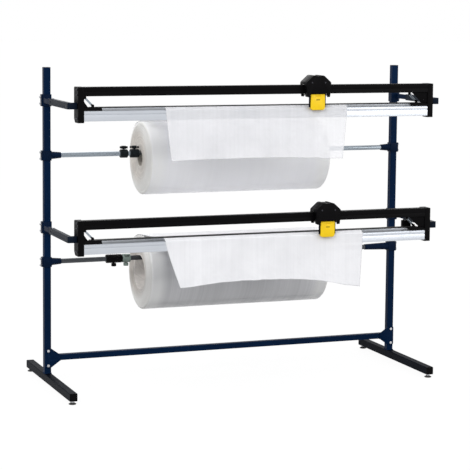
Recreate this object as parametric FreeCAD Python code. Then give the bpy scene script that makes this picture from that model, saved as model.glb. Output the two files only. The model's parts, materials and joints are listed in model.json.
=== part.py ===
import FreeCAD, Part
import math
import os
from FreeCAD import Vector

# Floor-standing cutter stand for two rolls of wrapping film: two posts on feet, two roll axles,
# and two cutting units held forward of the posts on arms.
# Millimetres. +X to the right, +Y to the rear, +Z up. The origin is on the floor, at the middle
# of the whole stand's width and depth.

# Posts, feet and lower crossbar
post_spacing = 1950.0
post_side = 35.0
post_wall = 2.0
post_corner = 3.0
stand_height = 1632.0
cap_flange = 4.0
cap_plug_depth = 18.0
cap_plug_gap = 0.2
foot_side = 40.0
foot_wall = 2.5
foot_corner = 4.0
foot_front = 500.0
foot_rear = 350.0
foot_clearance = 18.0
foot_cap_flange = 4.0
pad_inset = 22.0
pad_diameter = 38.0
pad_height = 9.0
stem_diameter = 10.0
stem_rise = 26.0
lock_nut_height = 6.0
lock_nut_flats = 17.0
running_gap = 0.05
crossbar_side = 30.0
crossbar_wall = 2.0
crossbar_level = 139.0
gusset_thickness = 5.0
gusset_reach = 65.0
gusset_half_height = 49.0
gusset_bolt_pitch = 77.0
frame_bolt_diameter = 8.0
frame_bolt_head = 13.0
frame_bolt_head_height = 5.5
frame_bolt_hole_gap = 0.2

# Clamps that grip the posts
clamp_wall = 4.0
clamp_gap = 0.2
clamp_height = 60.0
clamp_lug = 7.0
clamp_lug_width = 26.0
clamp_bolt_pitch = 33.0
clamp_bolt_diameter = 6.0
clamp_bolt_head = 10.0
clamp_bolt_head_height = 8.0
stub_width = 16.0
stub_height = 24.0
stub_end = 215.0

# Arms
arm_width = 22.0
arm_height = 32.0
arm_wall = 2.5
arm_start = 141.0
arm_front_inset = 18.5
arm_corner = 9.0
arm_drop = 92.0
arm_groove_height = 9.0
arm_groove_depth = 1.0
arm_groove_margin = 24.0
set_screw_diameter = 6.0
set_screw_head = 5.0

# Roll axles
axle_diameter = 25.0
upper_axle_level = 1184.0
lower_axle_level = 638.0
socket_length = 52.0
long_socket_length = 137.0
socket_base_diameter = 40.0
socket_tip_diameter = 30.0
socket_height = 50.0
socket_floor = 3.0

# Rolls: both hang by their core on the axle, the lower one on a much wider core
core_bores = (76.0, 178.0)
core_wall = 4.0
core_seat_gap = 0.3
roll_length = 1000.0
roll_offset = 23.0
roll_diameters = (380.0, 392.0)
roll_edge = 15.0

# Locking collars on the axles
collar_diameter = 44.0
collar_chamfer = 3.0
collar_length = 47.0
collar_roll_gap = 7.0
upper_outer_collar_length = 40.0
upper_collar_gap = 14.0
lower_left_roll_gap = 53.0
lower_inner_collar_length = 43.0
lower_outer_collar_length = 85.0
lower_collar_gap = 2.0
thumb_stem_diameter = 8.0
thumb_stem_length = 2.0
thumb_knob_diameter = 26.0
thumb_knob_height = 16.0
thumb_stem_depth = 8.0

# Cutting units
upper_unit_level = 1557.0
lower_unit_level = 908.0
unit_reach = 506.0
rail_height = 45.0
rail_depth = 40.0
rail_wall = 3.0
rail_corner = 2.0
rail_groove_height = 3.0
rail_groove_depth = 1.2
bracket_width = 31.0
bracket_depth = 72.0
bracket_height = 174.0
bracket_post_inset = 21.0
bracket_corner = 10.0
bracket_chamfer = 18.0
brace_thickness = 6.0
brace_setback = 6.0
left_brace_reach = 20.0
left_brace_height = 28.0
right_brace_reach = 88.0
right_brace_foot = 32.0
bar_drop = 104.0
bar_bottom_drop = 166.0
bar_depth = 66.0
bar_wall = 3.0
bar_slope_depth = 20.0
bar_lip_drop = 116.0
bar_groove = 3.0
bar_groove_depth = 4.0
bar_lip_height = 13.0
slot_setback = 24.0
slot_width = 4.0
slot_depth = 9.0
end_block_length = 90.0
end_block_rise = 7.0
end_block_lap = 1.0

# Film clamp that swings on two parallel links
clamp_bar_setback = 28.0
clamp_bar_depth = 28.0
clamp_bar_thickness = 4.3
clamp_bar_lift = 1.2
link_length = 56.0
link_angle = 45.0
link_pivot_left_inset = 13.0
link_pivot_right_inset = 88.0
link_pivot_drop = 53.0
link_width = 10.0
link_thickness = 3.0
link_setback = 38.5
link_pin_diameter = 5.0
link_pin_stand = 1.0
link_open_gap = 0.3
pivot_lug_width = 14.0
pivot_lug_thickness = 5.0
pivot_lug_gap = 0.5
clamp_bar_end_gap = 12.0
clamp_grip_length = 50.0
clamp_grip_height = 34.0
clamp_grip_inset = 18.0
clamp_grip_depth = 16.0
clamp_grip_stand = 14.0
clamp_grip_corner = 5.0

# Carriages
carriage_places = (294.0, 359.0)
hood_half_width = 68.0
hood_top_half = 28.0
hood_rise = 48.0
hood_shoulder = 13.0
hood_waist_drop = 6.0
hood_lobe_drop = 61.0
hood_lobe_outer = 62.0
hood_lobe_inner = 47.0
hood_notch_drop = 40.0
hood_front_stand = 30.0
hood_back_stand = 12.0
hood_wall = 4.0
hood_rail_gap = 3.0
hood_corner = 5.0
hood_dome_corner = 16.0
hood_grip_depth = 5.0
hood_grip_half = 15.0
glide_gap = 0.3
glide_thickness = 9.0
glide_inner = 40.0
glide_outer = 60.0
glide_under_depth = 30.0
frame_front_stand = 20.0
frame_half_width = 43.0
frame_wall = 3.0
frame_drop = 112.0
frame_film_gap = 3.0
frame_window_half = 17.0
frame_window_high_drop = 56.0
frame_window_low_drop = 100.0
holder_front = 22.0
holder_side_gap = 0.5
holder_top_drop = 46.0
holder_drop = 127.0
holder_corner = 14.0
holder_round = 4.0
holder_bevel = 2.0
holder_dimple_width = 26.0
holder_dimple_height = 7.0
holder_dimple_depth = 3.0
holder_arm_half = 12.0
holder_arm_high_drop = 66.0
holder_arm_low_drop = 90.0
blade_thickness = 0.8
blade_half_width = 18.0
blade_top_drop = 68.0
blade_tip_drop = 97.0
blade_shoulder_drop = 84.0

# Screws of the cutting units
unit_screw_head = 10.0
unit_screw_head_height = 5.0
unit_screw_inset = 14.0

# Film webs, from the roll over the cutting bar and down in front
film_thickness = 0.6
film_gap = 0.3
film_bend = 2.5
film_left_lap = 31.0
upper_film_right_inset = 57.0
lower_film_right_lap = 43.0
film_left_drop_share = (0.03, 0.073)
film_right_drop_share = (0.022, 0.012)
film_hem_left = (368.0, 354.0)
film_hem_quarter = (364.0, 336.0)
film_hem_middle = (363.0, 334.0)
film_hem_three_quarter = (367.0, 350.0)
film_hem_right = (377.0, 394.0)

# How far a cut runs past the piece that it cuts
overrun = 50.0
hexagon_sides = 6

# Places worked out from the sizes above
post_x = post_spacing / 2
front_reach = unit_reach + max(holder_front, hood_front_stand)
post_y = (front_reach - foot_rear) / 2
unit_front = post_y - unit_reach
foot_top = foot_clearance + foot_side
axle_levels = (upper_axle_level, lower_axle_level)
unit_levels = (upper_unit_level, lower_unit_level)
bracket_outer = post_x - bracket_post_inset
bracket_inner = bracket_outer - bracket_width
link_pivots = (link_pivot_left_inset - bracket_inner, bracket_inner - link_pivot_right_inset)
roll_left = roll_offset - roll_length / 2
roll_right = roll_offset + roll_length / 2
film_left = roll_left - film_left_lap
film_right = (roll_right - upper_film_right_inset, roll_right + lower_film_right_lap)
arm_x = post_x + post_side / 2 + clamp_gap + clamp_wall - stub_width / 2
tiers = ("upper", "lower")
sides = (("left", -1.0), ("right", 1.0))


def on_x(x):
    return lambda u, v: Vector(x, u, v)


def on_y(y):
    return lambda u, v: Vector(u, y, v)


def on_z(z):
    return lambda u, v: Vector(u, v, z)


def corner_points(before, corner, after, radius):
    # The two tangent points and the middle of the arc that rounds one corner.
    to_before = Vector(*before, 0).sub(Vector(*corner, 0)).normalize()
    to_after = Vector(*after, 0).sub(Vector(*corner, 0)).normalize()
    half = math.acos(max(-1.0, min(1.0, to_before.dot(to_after)))) / 2
    setback = radius / math.tan(half)
    centre = (to_before + to_after).normalize() * (radius / math.sin(half))
    tip = centre - Vector(centre).normalize() * radius
    origin = Vector(*corner, 0)
    found = [origin + to_before * setback, origin + tip, origin + to_after * setback]
    return [(p.x, p.y) for p in found]


def outline_face(points, radii, place):
    # A flat face inside a polygon whose corners are rounded by tangent arcs.
    count = len(points)
    if not isinstance(radii, (list, tuple)):
        radii = [radii] * count
    starts = []
    ends = []
    edges = []
    for i in range(count):
        if radii[i] > 0:
            a, m, b = corner_points(points[i - 1], points[i], points[(i + 1) % count], radii[i])
            edges.append(Part.Arc(place(*a), place(*m), place(*b)).toShape())
            starts.append(a)
            ends.append(b)
        else:
            edges.append(None)
            starts.append(points[i])
            ends.append(points[i])
    ring = []
    for i in range(count):
        if edges[i] is not None:
            ring.append(edges[i])
        a = place(*ends[i])
        b = place(*starts[(i + 1) % count])
        if a.distanceToPoint(b) > running_gap / 1000:
            ring.append(Part.LineSegment(a, b).toShape())
    return Part.Face(Part.Wire(ring))


def prism(points, radii, place, along):
    return outline_face(points, radii, place).extrude(along)


def block(x, y, z):
    # A box from three pairs of limits.
    return Part.makeBox(x[1] - x[0], y[1] - y[0], z[1] - z[0], Vector(x[0], y[0], z[0]))


def span(a, b):
    return (min(a, b), max(a, b))


def rectangle(u, v):
    return [(u[0], v[0]), (u[1], v[0]), (u[1], v[1]), (u[0], v[1])]


def square_tube(place, centre, side, wall, corner, along):
    u = (centre[0] - side / 2, centre[0] + side / 2)
    v = (centre[1] - side / 2, centre[1] + side / 2)
    inner_u = (u[0] + wall, u[1] - wall)
    inner_v = (v[0] + wall, v[1] - wall)
    outer = prism(rectangle(u, v), corner, place, along)
    inner = prism(rectangle(inner_u, inner_v), max(corner - wall, wall / 2), place, along)
    return outer.cut(inner)


def round_bar(start, direction, diameter, length):
    return Part.makeCylinder(diameter / 2, length, start, direction)


def hexagon(centre, direction, flats, height, place):
    radius = flats / 2 / math.cos(math.pi / hexagon_sides)
    turns = [math.tau * i / hexagon_sides for i in range(hexagon_sides)]
    points = [(centre[0] + radius * math.cos(t), centre[1] + radius * math.sin(t)) for t in turns]
    return prism(points, 0, place, direction * height)


def save(name, solids):
    shape = solids[0] if len(solids) == 1 else Part.makeCompound(solids)
    shape.exportStep("parts/" + name + ".step")


def make_posts():
    caps = []
    for side, sign in sides:
        height = stand_height - cap_flange - foot_top
        centre = (sign * post_x, post_y)
        along = Vector(0, 0, height)
        tube = square_tube(on_z(foot_top), centre, post_side, post_wall, post_corner, along)
        for step in (-1, 1):
            level = crossbar_level + step * gusset_bolt_pitch / 2
            start = Vector(sign * post_x, post_y - post_side, level)
            hole = frame_bolt_diameter + 2 * frame_bolt_hole_gap
            tube = tube.cut(round_bar(start, Vector(0, 1, 0), hole, 2 * post_side))
        save("post_" + side, [tube])
        caps.append(make_tube_cap(sign))
    save("post_caps", caps)


def make_tube_cap(sign):
    top = stand_height - cap_flange
    u = (sign * post_x - post_side / 2, sign * post_x + post_side / 2)
    v = (post_y - post_side / 2, post_y + post_side / 2)
    flange = prism(rectangle(u, v), post_corner, on_z(top), Vector(0, 0, cap_flange))
    edges = [e for e in flange.Edges if e.BoundBox.ZMin > stand_height - running_gap]
    flange = flange.makeFillet(cap_flange / 2, edges)
    inset = post_wall + cap_plug_gap
    inner = rectangle((u[0] + inset, u[1] - inset), (v[0] + inset, v[1] - inset))
    plug = prism(inner, post_wall, on_z(top - cap_plug_depth), Vector(0, 0, cap_plug_depth))
    return flange.fuse(plug).removeSplitter()


def make_feet():
    caps = []
    for side, sign in sides:
        start = post_y - foot_front + foot_cap_flange
        length = foot_front + foot_rear - 2 * foot_cap_flange
        centre = (sign * post_x, foot_clearance + foot_side / 2)
        along = Vector(0, length, 0)
        tube = square_tube(on_y(start), centre, foot_side, foot_wall, foot_corner, along)
        for pad_y in pad_places():
            hole = stem_diameter + 2 * running_gap
            base = Vector(sign * post_x, pad_y, foot_clearance - foot_wall)
            tube = tube.cut(round_bar(base, Vector(0, 0, 1), hole, 3 * foot_wall))
        save("foot_" + side, [tube])
        caps.append(make_foot_cap(sign, start, -1.0))
        caps.append(make_foot_cap(sign, start + length, 1.0))
    save("foot_end_caps", caps)


def make_foot_cap(sign, y, way):
    u = (sign * post_x - foot_side / 2, sign * post_x + foot_side / 2)
    v = (foot_clearance, foot_top)
    along = Vector(0, way * foot_cap_flange, 0)
    flange = prism(rectangle(u, v), foot_corner, on_y(y), along)
    outer = y + way * foot_cap_flange
    edges = [e for e in flange.Edges if abs(e.BoundBox.YMin - outer) < running_gap
             and abs(e.BoundBox.YMax - outer) < running_gap]
    flange = flange.makeFillet(foot_cap_flange / 2, edges)
    inset = foot_wall + cap_plug_gap
    inner = rectangle((u[0] + inset, u[1] - inset), (v[0] + inset, v[1] - inset))
    reach = Vector(0, -way * (pad_inset - foot_cap_flange - stem_diameter), 0)
    plug = prism(inner, foot_wall, on_y(y), reach)
    return flange.fuse(plug).removeSplitter()


def pad_places():
    return (post_y - foot_front + pad_inset, post_y + foot_rear - pad_inset)


def make_levelling_feet():
    for side, sign in sides:
        for place, pad_y in zip(("front", "rear"), pad_places()):
            base = Vector(sign * post_x, pad_y, 0)
            up = Vector(0, 0, 1)
            lower = round_bar(base, up, pad_diameter, pad_height / 2)
            upper = Part.makeCone(pad_diameter / 2, pad_diameter / 3, pad_height / 2,
                                  base + up * (pad_height / 2), up)
            stem = round_bar(base, up, stem_diameter, foot_clearance + stem_rise)
            foot = lower.fuse(upper).fuse(stem).removeSplitter()
            save("levelling_foot_" + place + "_" + side, [foot])


def lock_nuts():
    nuts = []
    for side, sign in sides:
        for pad_y in pad_places():
            level = foot_clearance - lock_nut_height
            nut = hexagon((sign * post_x, pad_y), Vector(0, 0, 1), lock_nut_flats,
                          lock_nut_height, on_z(level))
            bore = round_bar(Vector(sign * post_x, pad_y, 0), Vector(0, 0, 1),
                             stem_diameter + 2 * running_gap, foot_top)
            nuts.append(nut.cut(bore))
    return nuts


def make_crossbar():
    half = post_x - post_side / 2
    face_y = post_y - post_side / 2
    centre = (face_y + crossbar_side / 2, crossbar_level)
    bar = square_tube(on_x(-half), centre, crossbar_side, crossbar_wall, crossbar_wall,
                      Vector(2 * half, 0, 0))
    save("crossbar", [bar])
    plates = []
    for side, sign in sides:
        outer = post_x + post_side / 2
        knee = post_x - post_side / 2
        inner = post_x - gusset_reach
        top = crossbar_level + gusset_half_height
        bottom = crossbar_level - gusset_half_height
        points = [(outer, bottom), (outer, top), (knee, top),
                  (inner, crossbar_level + crossbar_side / 2),
                  (inner, crossbar_level - crossbar_side / 2), (knee, bottom)]
        points = [(sign * x, z) for x, z in points]
        plate = prism(points, gusset_thickness, on_y(face_y), Vector(0, -gusset_thickness, 0))
        hole = frame_bolt_diameter + 2 * frame_bolt_hole_gap
        for step in (-1, 1):
            start = Vector(sign * post_x, face_y - overrun,
                           crossbar_level + step * gusset_bolt_pitch / 2)
            plate = plate.cut(round_bar(start, Vector(0, 1, 0), hole, 2 * overrun))
        plates.append(plate)
    save("gusset_plates", plates)


def frame_bolts():
    bolts = []
    front = post_y - post_side / 2 - gusset_thickness
    rear = post_y + post_side / 2
    back = Vector(0, 1, 0)
    for side, sign in sides:
        for step in (-1, 1):
            level = crossbar_level + step * gusset_bolt_pitch / 2
            head = hexagon((sign * post_x, level), back * -1, frame_bolt_head,
                           frame_bolt_head_height, on_y(front))
            nut = hexagon((sign * post_x, level), back, frame_bolt_head,
                          frame_bolt_head_height, on_y(rear))
            shank = round_bar(Vector(sign * post_x, front, level), back, frame_bolt_diameter,
                              rear - front + frame_bolt_head_height + frame_bolt_diameter / 2)
            bolts.append(head.fuse(shank).fuse(nut).removeSplitter())
    return bolts


def post_sleeve(sign, level, height):
    # A collar of flat plate round the post, with a lug on its outer side.
    half = post_side / 2 + clamp_gap
    outer = half + clamp_wall
    x = sign * post_x
    sleeve = prism(rectangle((x - outer, x + outer), (post_y - outer, post_y + outer)),
                   clamp_wall, on_z(level - height / 2), Vector(0, 0, height))
    passage = block((x - half, x + half), (post_y - half, post_y + half),
                    (level - height, level + height))
    lug_x = span(x + sign * (outer - clamp_wall / 2), x + sign * (outer + clamp_lug))
    lug = block(lug_x, (post_y - clamp_lug_width / 2, post_y + clamp_lug_width / 2),
                (level - height / 2, level + height / 2))
    body = sleeve.fuse(lug).removeSplitter().cut(passage)
    for step in (-1, 1):
        start = Vector(x, post_y, level + step * clamp_bolt_pitch / 2)
        hole = round_bar(start, Vector(sign, 0, 0), clamp_bolt_diameter, 2 * outer)
        body = body.cut(hole)
    return body


def clamp_bolts(sign, level):
    outer = post_x + post_side / 2 + clamp_gap + clamp_wall + clamp_lug
    inner = post_x + post_side / 2 + clamp_gap
    bolts = []
    for step in (-1, 1):
        z = level + step * clamp_bolt_pitch / 2
        head = hexagon((post_y, z), Vector(sign, 0, 0), clamp_bolt_head, clamp_bolt_head_height,
                       on_x(sign * outer))
        shank = round_bar(Vector(sign * inner, post_y, z), Vector(sign, 0, 0),
                          clamp_bolt_diameter, outer - inner)
        bolts.append(head.fuse(shank).removeSplitter())
    return bolts


def arm_level(level):
    return level - arm_drop


def make_arm_clamps():
    clamps = []
    for level in unit_levels:
        for side, sign in sides:
            z = arm_level(level)
            sleeve = post_sleeve(sign, z, clamp_height)
            half = post_side / 2 + clamp_gap
            stub = block((sign * arm_x - stub_width / 2, sign * arm_x + stub_width / 2),
                         (post_y - stub_end, post_y - half),
                         (z - stub_height / 2, z + stub_height / 2))
            clamps.append(sleeve.fuse(stub).removeSplitter())
    save("arm_clamps", clamps)


def arm_plan(inset):
    # The arm's plan on the right side: forward from the clamp, then inward to the bracket.
    outer = arm_x + arm_width / 2 - inset
    inner = arm_x - arm_width / 2 + inset
    back = post_y - arm_start
    front = unit_front + arm_front_inset + inset
    turn = front + arm_width - 2 * inset
    return [(inner, back), (outer, back), (outer, front), (bracket_outer, front),
            (bracket_outer, turn), (inner, turn)]


def make_arms():
    for tier, level in zip(tiers, unit_levels):
        for side, sign in sides:
            z = arm_level(level)
            outer = [(sign * x, y) for x, y in arm_plan(0)]
            inner = [(sign * x, y) for x, y in arm_plan(arm_wall)]
            rounding = [0, 0, arm_corner, 0, 0, 0]
            inner_rounding = [0, 0, arm_corner - arm_wall, 0, 0, 0]
            body = prism(outer, rounding, on_z(z - arm_height / 2), Vector(0, 0, arm_height))
            hollow = prism(inner, inner_rounding, on_z(z - arm_height / 2 + arm_wall),
                           Vector(0, 0, arm_height - 2 * arm_wall))
            body = body.cut(hollow)
            groove_y = (unit_front + arm_front_inset + arm_width + arm_groove_margin,
                        post_y - arm_start - arm_groove_margin)
            skin = sign * (arm_x + arm_width / 2)
            groove_z = (z - arm_groove_height / 2, z + arm_groove_height / 2)
            groove = prism(rectangle(groove_y, groove_z), arm_groove_height / 2 - running_gap,
                           on_x(skin - sign * arm_groove_depth),
                           Vector(sign * 2 * arm_groove_depth, 0, 0))
            body = body.cut(groove)
            save("arm_" + tier + "_" + side, [body])


def arm_set_screws():
    screws = []
    for level in unit_levels:
        for side, sign in sides:
            top = arm_level(level) + arm_height / 2
            y = post_y - (arm_start + stub_end) / 2
            head = round_bar(Vector(sign * arm_x, y, top), Vector(0, 0, 1),
                             2 * set_screw_diameter, set_screw_head)
            screws.append(head)
    return screws


def make_axles():
    sockets = []
    for tier, level in zip(tiers, axle_levels):
        wall_x = post_x - post_side / 2 - clamp_gap - clamp_wall
        length = 2 * (wall_x - socket_floor)
        rod = round_bar(Vector(-length / 2, post_y, level), Vector(1, 0, 0), axle_diameter, length)
        save("axle_" + tier, [rod])
        for side, sign in sides:
            sleeve = post_sleeve(sign, level, socket_height)
            start = Vector(sign * (wall_x + clamp_wall), post_y, level)
            reach = long_socket_length if (tier, side) == ("lower", "right") else socket_length
            cone = Part.makeCone(socket_base_diameter / 2, socket_tip_diameter / 2,
                                 reach + clamp_wall, start, Vector(-sign, 0, 0))
            half = post_side / 2 + clamp_gap
            passage = block((sign * post_x - half, sign * post_x + half),
                            (post_y - half, post_y + half),
                            (level - socket_height, level + socket_height))
            bore = round_bar(Vector(sign * length / 2, post_y, level), Vector(-sign, 0, 0),
                             axle_diameter, 2 * long_socket_length)
            socket = sleeve.fuse(cone).removeSplitter().cut(passage).cut(bore)
            sockets.append(socket)
    save("axle_sockets", sockets)


def make_fasteners():
    save("frame_bolts", frame_bolts() + lock_nuts())
    bolts = arm_set_screws()
    for side, sign in sides:
        for level in unit_levels:
            bolts += clamp_bolts(sign, arm_level(level))
        for level in axle_levels:
            bolts += clamp_bolts(sign, level)
    save("clamp_bolts", bolts)


def roll_centre(i):
    # The middle of a roll hangs below its axle, which touches the bore's upper side.
    return axle_levels[i] - (core_bores[i] - axle_diameter) / 2 + core_seat_gap


def make_rolls():
    for i, tier in enumerate(tiers):
        start = Vector(roll_left, post_y, roll_centre(i))
        right = Vector(1, 0, 0)
        core_diameter = core_bores[i] + 2 * core_wall
        core = round_bar(start, right, core_diameter, roll_length)
        core = core.cut(round_bar(start, right, core_bores[i], roll_length))
        save("roll_core_" + tier, [core])
        film = round_bar(start, right, roll_diameters[i], roll_length)
        rims = [e for e in film.Edges if e.Curve.TypeId == "Part::GeomCircle"]
        film = film.makeFillet(roll_edge, rims)
        film = film.cut(round_bar(start, right, core_diameter, roll_length))
        save("film_roll_" + tier, [film])


def collar_places():
    # The middle and length of the three collars on each axle, set out from the ends of the roll.
    places = []
    for gap, inner, between, outer in (
            (collar_roll_gap, collar_length, upper_collar_gap, upper_outer_collar_length),
            (lower_left_roll_gap, lower_inner_collar_length, lower_collar_gap,
             lower_outer_collar_length)):
        inner_x = roll_left - gap - inner / 2
        outer_x = roll_left - gap - inner - between - outer / 2
        right_x = roll_right + collar_roll_gap + collar_length / 2
        places.append(((outer_x, outer), (inner_x, inner), (right_x, collar_length)))
    return places


def make_collar(x, length, level, knob):
    start = Vector(x - length / 2, post_y, level)
    right = Vector(1, 0, 0)
    ring = round_bar(start, right, collar_diameter, length)
    rims = [e for e in ring.Edges if e.Curve.TypeId == "Part::GeomCircle"]
    ring = ring.makeChamfer(collar_chamfer, rims)
    ring = ring.cut(round_bar(start, right, axle_diameter + 2 * running_gap, length))
    way = Vector(0, 0, knob)
    depth = collar_diameter / 2 - thumb_stem_depth / 2
    base = Vector(x, post_y, level) + way * depth
    stem_length = thumb_stem_length + thumb_stem_depth / 2
    hole = round_bar(base, way, thumb_stem_diameter, stem_length)
    ring = ring.cut(hole)
    stem = round_bar(base, way, thumb_stem_diameter, stem_length)
    head = round_bar(base + way * stem_length, way, thumb_knob_diameter, thumb_knob_height)
    rims = [e for e in head.Edges if e.Curve.TypeId == "Part::GeomCircle"]
    head = head.makeFillet(thumb_knob_height / 6, rims)
    return [ring, stem.fuse(head).removeSplitter()]


def make_collars():
    names = ("outer_left", "inner_left", "right")
    for tier, level, places, knob in zip(tiers, axle_levels, collar_places(), (1.0, -1.0)):
        for name, (x, length) in zip(names, places):
            save("collar_" + tier + "_" + name, make_collar(x, length, level, knob))


def make_rail(tier, level):
    y = (unit_front, unit_front + rail_depth)
    z = (level - rail_height, level)
    start = -bracket_inner
    along = Vector(2 * bracket_inner, 0, 0)
    rail = prism(rectangle(y, z), rail_corner, on_x(start), along)
    inner = rectangle((y[0] + rail_wall, y[1] - rail_wall), (z[0] + rail_wall, z[1] - rail_wall))
    rail = rail.cut(prism(inner, 0, on_x(start), along))
    middle = (z[0] + z[1]) / 2
    groove = block((start, -start), (y[0] - overrun, y[0] + rail_groove_depth),
                   (middle - rail_groove_height / 2, middle + rail_groove_height / 2))
    rail = rail.cut(groove)
    for pivot in link_pivots:
        rail = rail.fuse(pivot_lug(pivot, level - link_pivot_drop, level - rail_height, 1.0))
    save("guide_rail_" + tier, [rail.removeSplitter()])


def pivot_lug(x, z, root, way):
    # A small ear with a pin for a link, growing from the level called root.
    plane = unit_front + link_setback
    y = (plane - pivot_lug_gap - pivot_lug_thickness, plane - pivot_lug_gap)
    half = pivot_lug_width / 2
    points = [(x - half, root), (x - half, z - way * half), (x + half, z - way * half),
              (x + half, root)]
    ear = prism(points, [0, half - running_gap, half - running_gap, 0], on_y(y[0]),
                Vector(0, y[1] - y[0], 0))
    pin = round_bar(Vector(x, y[1], z), Vector(0, 1, 0), link_pin_diameter,
                    pivot_lug_gap + link_thickness + link_pin_stand)
    return ear.fuse(pin)


def make_brackets(tier, level):
    solids = []
    for side, sign in sides:
        back = unit_front + bracket_depth
        bottom = level - bracket_height
        points = [(unit_front, bottom), (unit_front, level), (back, level),
                  (back, bottom + bracket_chamfer), (back - bracket_chamfer, bottom)]
        radii = [rail_corner, rail_corner, bracket_corner, rail_corner, rail_corner]
        body = prism(points, radii, on_x(sign * bracket_inner), Vector(sign * bracket_width, 0, 0))
        body = body.fuse(make_brace(side, level)).removeSplitter()
        solids.append(body)
    save("end_brackets_" + tier, solids)


def make_brace(side, level):
    # Each bracket has one triangular web beside the swinging link: low on the left, high on the right.
    y = unit_front + brace_setback
    lap = bracket_inner + brace_thickness / 2
    low = level - bar_drop + end_block_rise
    if side == "left":
        high = low + left_brace_height
        points = [(-lap, low), (-lap, high), (-bracket_inner, high),
                  (left_brace_reach - bracket_inner, low)]
    else:
        high = level - rail_height
        points = [(lap, high), (lap, low), (bracket_inner - right_brace_foot, low),
                  (bracket_inner - right_brace_reach, high)]
    return prism(points, 0, on_y(y), Vector(0, brace_thickness, 0))


def make_bar(tier, level):
    back = unit_front + bar_depth
    top = level - bar_drop
    lip = level - bar_lip_drop
    bottom = level - bar_bottom_drop
    outer = [(unit_front, bottom), (unit_front, lip), (unit_front + bar_slope_depth, top),
             (back, top), (back, bottom)]
    along = Vector(2 * bracket_inner, 0, 0)
    bar = prism(outer, [rail_corner, 0, 0, rail_corner, rail_corner], on_x(-bracket_inner), along)
    floor = top - slot_depth - bar_wall
    shelf = unit_front + bar_groove_depth + bar_wall
    inner = rectangle((shelf, back - bar_wall), (bottom + bar_wall, floor))
    bar = bar.cut(prism(inner, bar_wall, on_x(-bracket_inner), along))
    whole = (-bracket_inner, bracket_inner)
    groove_y = (unit_front - overrun, unit_front + bar_groove_depth)
    for high in (lip - bar_groove, lip - bar_groove - bar_lip_height - bar_groove):
        bar = bar.cut(block(whole, groove_y, (high, high + bar_groove)))
    slot_y = (unit_front + slot_setback - slot_width / 2, unit_front + slot_setback + slot_width / 2)
    bar = bar.cut(block(whole, slot_y, (top - slot_depth, top + overrun)))
    save("cutting_bar_" + tier, [bar.removeSplitter()])


def end_blocks(level):
    # Black end pieces that cover the ends of the cutting bar's sloped front.
    top = level - bar_drop
    lip = level - bar_lip_drop
    rise = top + end_block_rise
    front = unit_front - end_block_lap
    rear = unit_front + slot_setback - slot_width / 2 - end_block_lap
    blocks = []
    for side, sign in sides:
        points = [(front, lip), (front, lip + end_block_rise), (front + bar_slope_depth / 2, rise),
                  (rear, rise), (rear, top), (unit_front + bar_slope_depth, top), (unit_front, lip)]
        along = Vector(-sign * end_block_length, 0, 0)
        blocks.append(prism(points, 0, on_x(sign * bracket_inner), along))
    return blocks


def link_drop():
    return link_length * math.sin(math.radians(link_angle))


def link_run():
    return link_length * math.cos(math.radians(link_angle))


def make_clamp(tier, level):
    top = level - bar_drop
    y = (unit_front + clamp_bar_setback, unit_front + clamp_bar_setback + clamp_bar_depth)
    under = top + clamp_bar_lift
    upper = under + clamp_bar_thickness
    left = link_pivots[0] + link_run() - pivot_lug_width
    right = bracket_inner - (link_length - link_run()) - clamp_bar_end_gap
    bar = prism(rectangle(y, (under, upper)), clamp_bar_thickness / 4, on_x(left),
                Vector(right - left, 0, 0))
    for pivot in link_pivots:
        bar = bar.fuse(pivot_lug(pivot + link_run(), level - link_pivot_drop - link_drop(),
                                 upper - clamp_bar_thickness / 2, -1.0))
    if tier == "lower":
        bar = bar.fuse(clamp_grip(right, y[1], upper))
    save("clamp_bar_" + tier, [bar.removeSplitter()])
    for side, pivot, gap in (("left", link_pivots[0], running_gap),
                             ("right", link_pivots[1], link_open_gap)):
        save("clamp_link_" + side + "_" + tier, [make_link(pivot, level, gap)])


def clamp_grip(bar_end, back, root):
    # A rounded block to lift the bar by, on a tongue that holds it clear behind the carriage.
    right = bar_end - clamp_grip_inset
    left = right - clamp_grip_length
    low = root - clamp_bar_thickness
    high = low + clamp_grip_height
    points = [(left, low), (left, high), (right, high), (right, low)]
    front = back + clamp_grip_stand
    grip = prism(points, [0, clamp_grip_corner, clamp_grip_corner, 0], on_y(front),
                 Vector(0, clamp_grip_depth, 0))
    tongue = block((left, right), (back - clamp_bar_thickness, front + clamp_bar_thickness),
                   (low, root))
    return grip.fuse(tongue)


def make_link(pivot, level, gap):
    plane = unit_front + link_setback
    top = (pivot, level - link_pivot_drop)
    foot = (top[0] + link_run(), top[1] - link_drop())
    half = link_width / 2
    along = Vector(0, link_thickness, 0)
    rise = half * math.cos(math.radians(link_angle))
    shift = half * math.sin(math.radians(link_angle))
    points = [(top[0] - shift, top[1] - rise), (foot[0] - shift, foot[1] - rise),
              (foot[0] + shift, foot[1] + rise), (top[0] + shift, top[1] + rise)]
    strip = prism(points, 0, on_y(plane), along)
    for spot in (top, foot):
        start = Vector(spot[0], plane, spot[1])
        strip = strip.fuse(round_bar(start, along, link_width, link_thickness))
    strip = strip.removeSplitter()
    for spot, play in ((top, running_gap), (foot, gap)):
        start = Vector(spot[0], plane, spot[1])
        strip = strip.cut(round_bar(start, along, link_pin_diameter + 2 * play, link_thickness))
    return strip


def hood_outline(inset):
    half = hood_half_width - inset
    return [(-hood_lobe_outer + inset, -hood_lobe_drop), (-half, -hood_waist_drop),
            (-half, hood_shoulder - inset / 2), (-hood_top_half + inset / 3, hood_rise - inset),
            (hood_top_half - inset / 3, hood_rise - inset), (half, hood_shoulder - inset / 2),
            (half, -hood_waist_drop), (hood_lobe_outer - inset, -hood_lobe_drop)]


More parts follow.
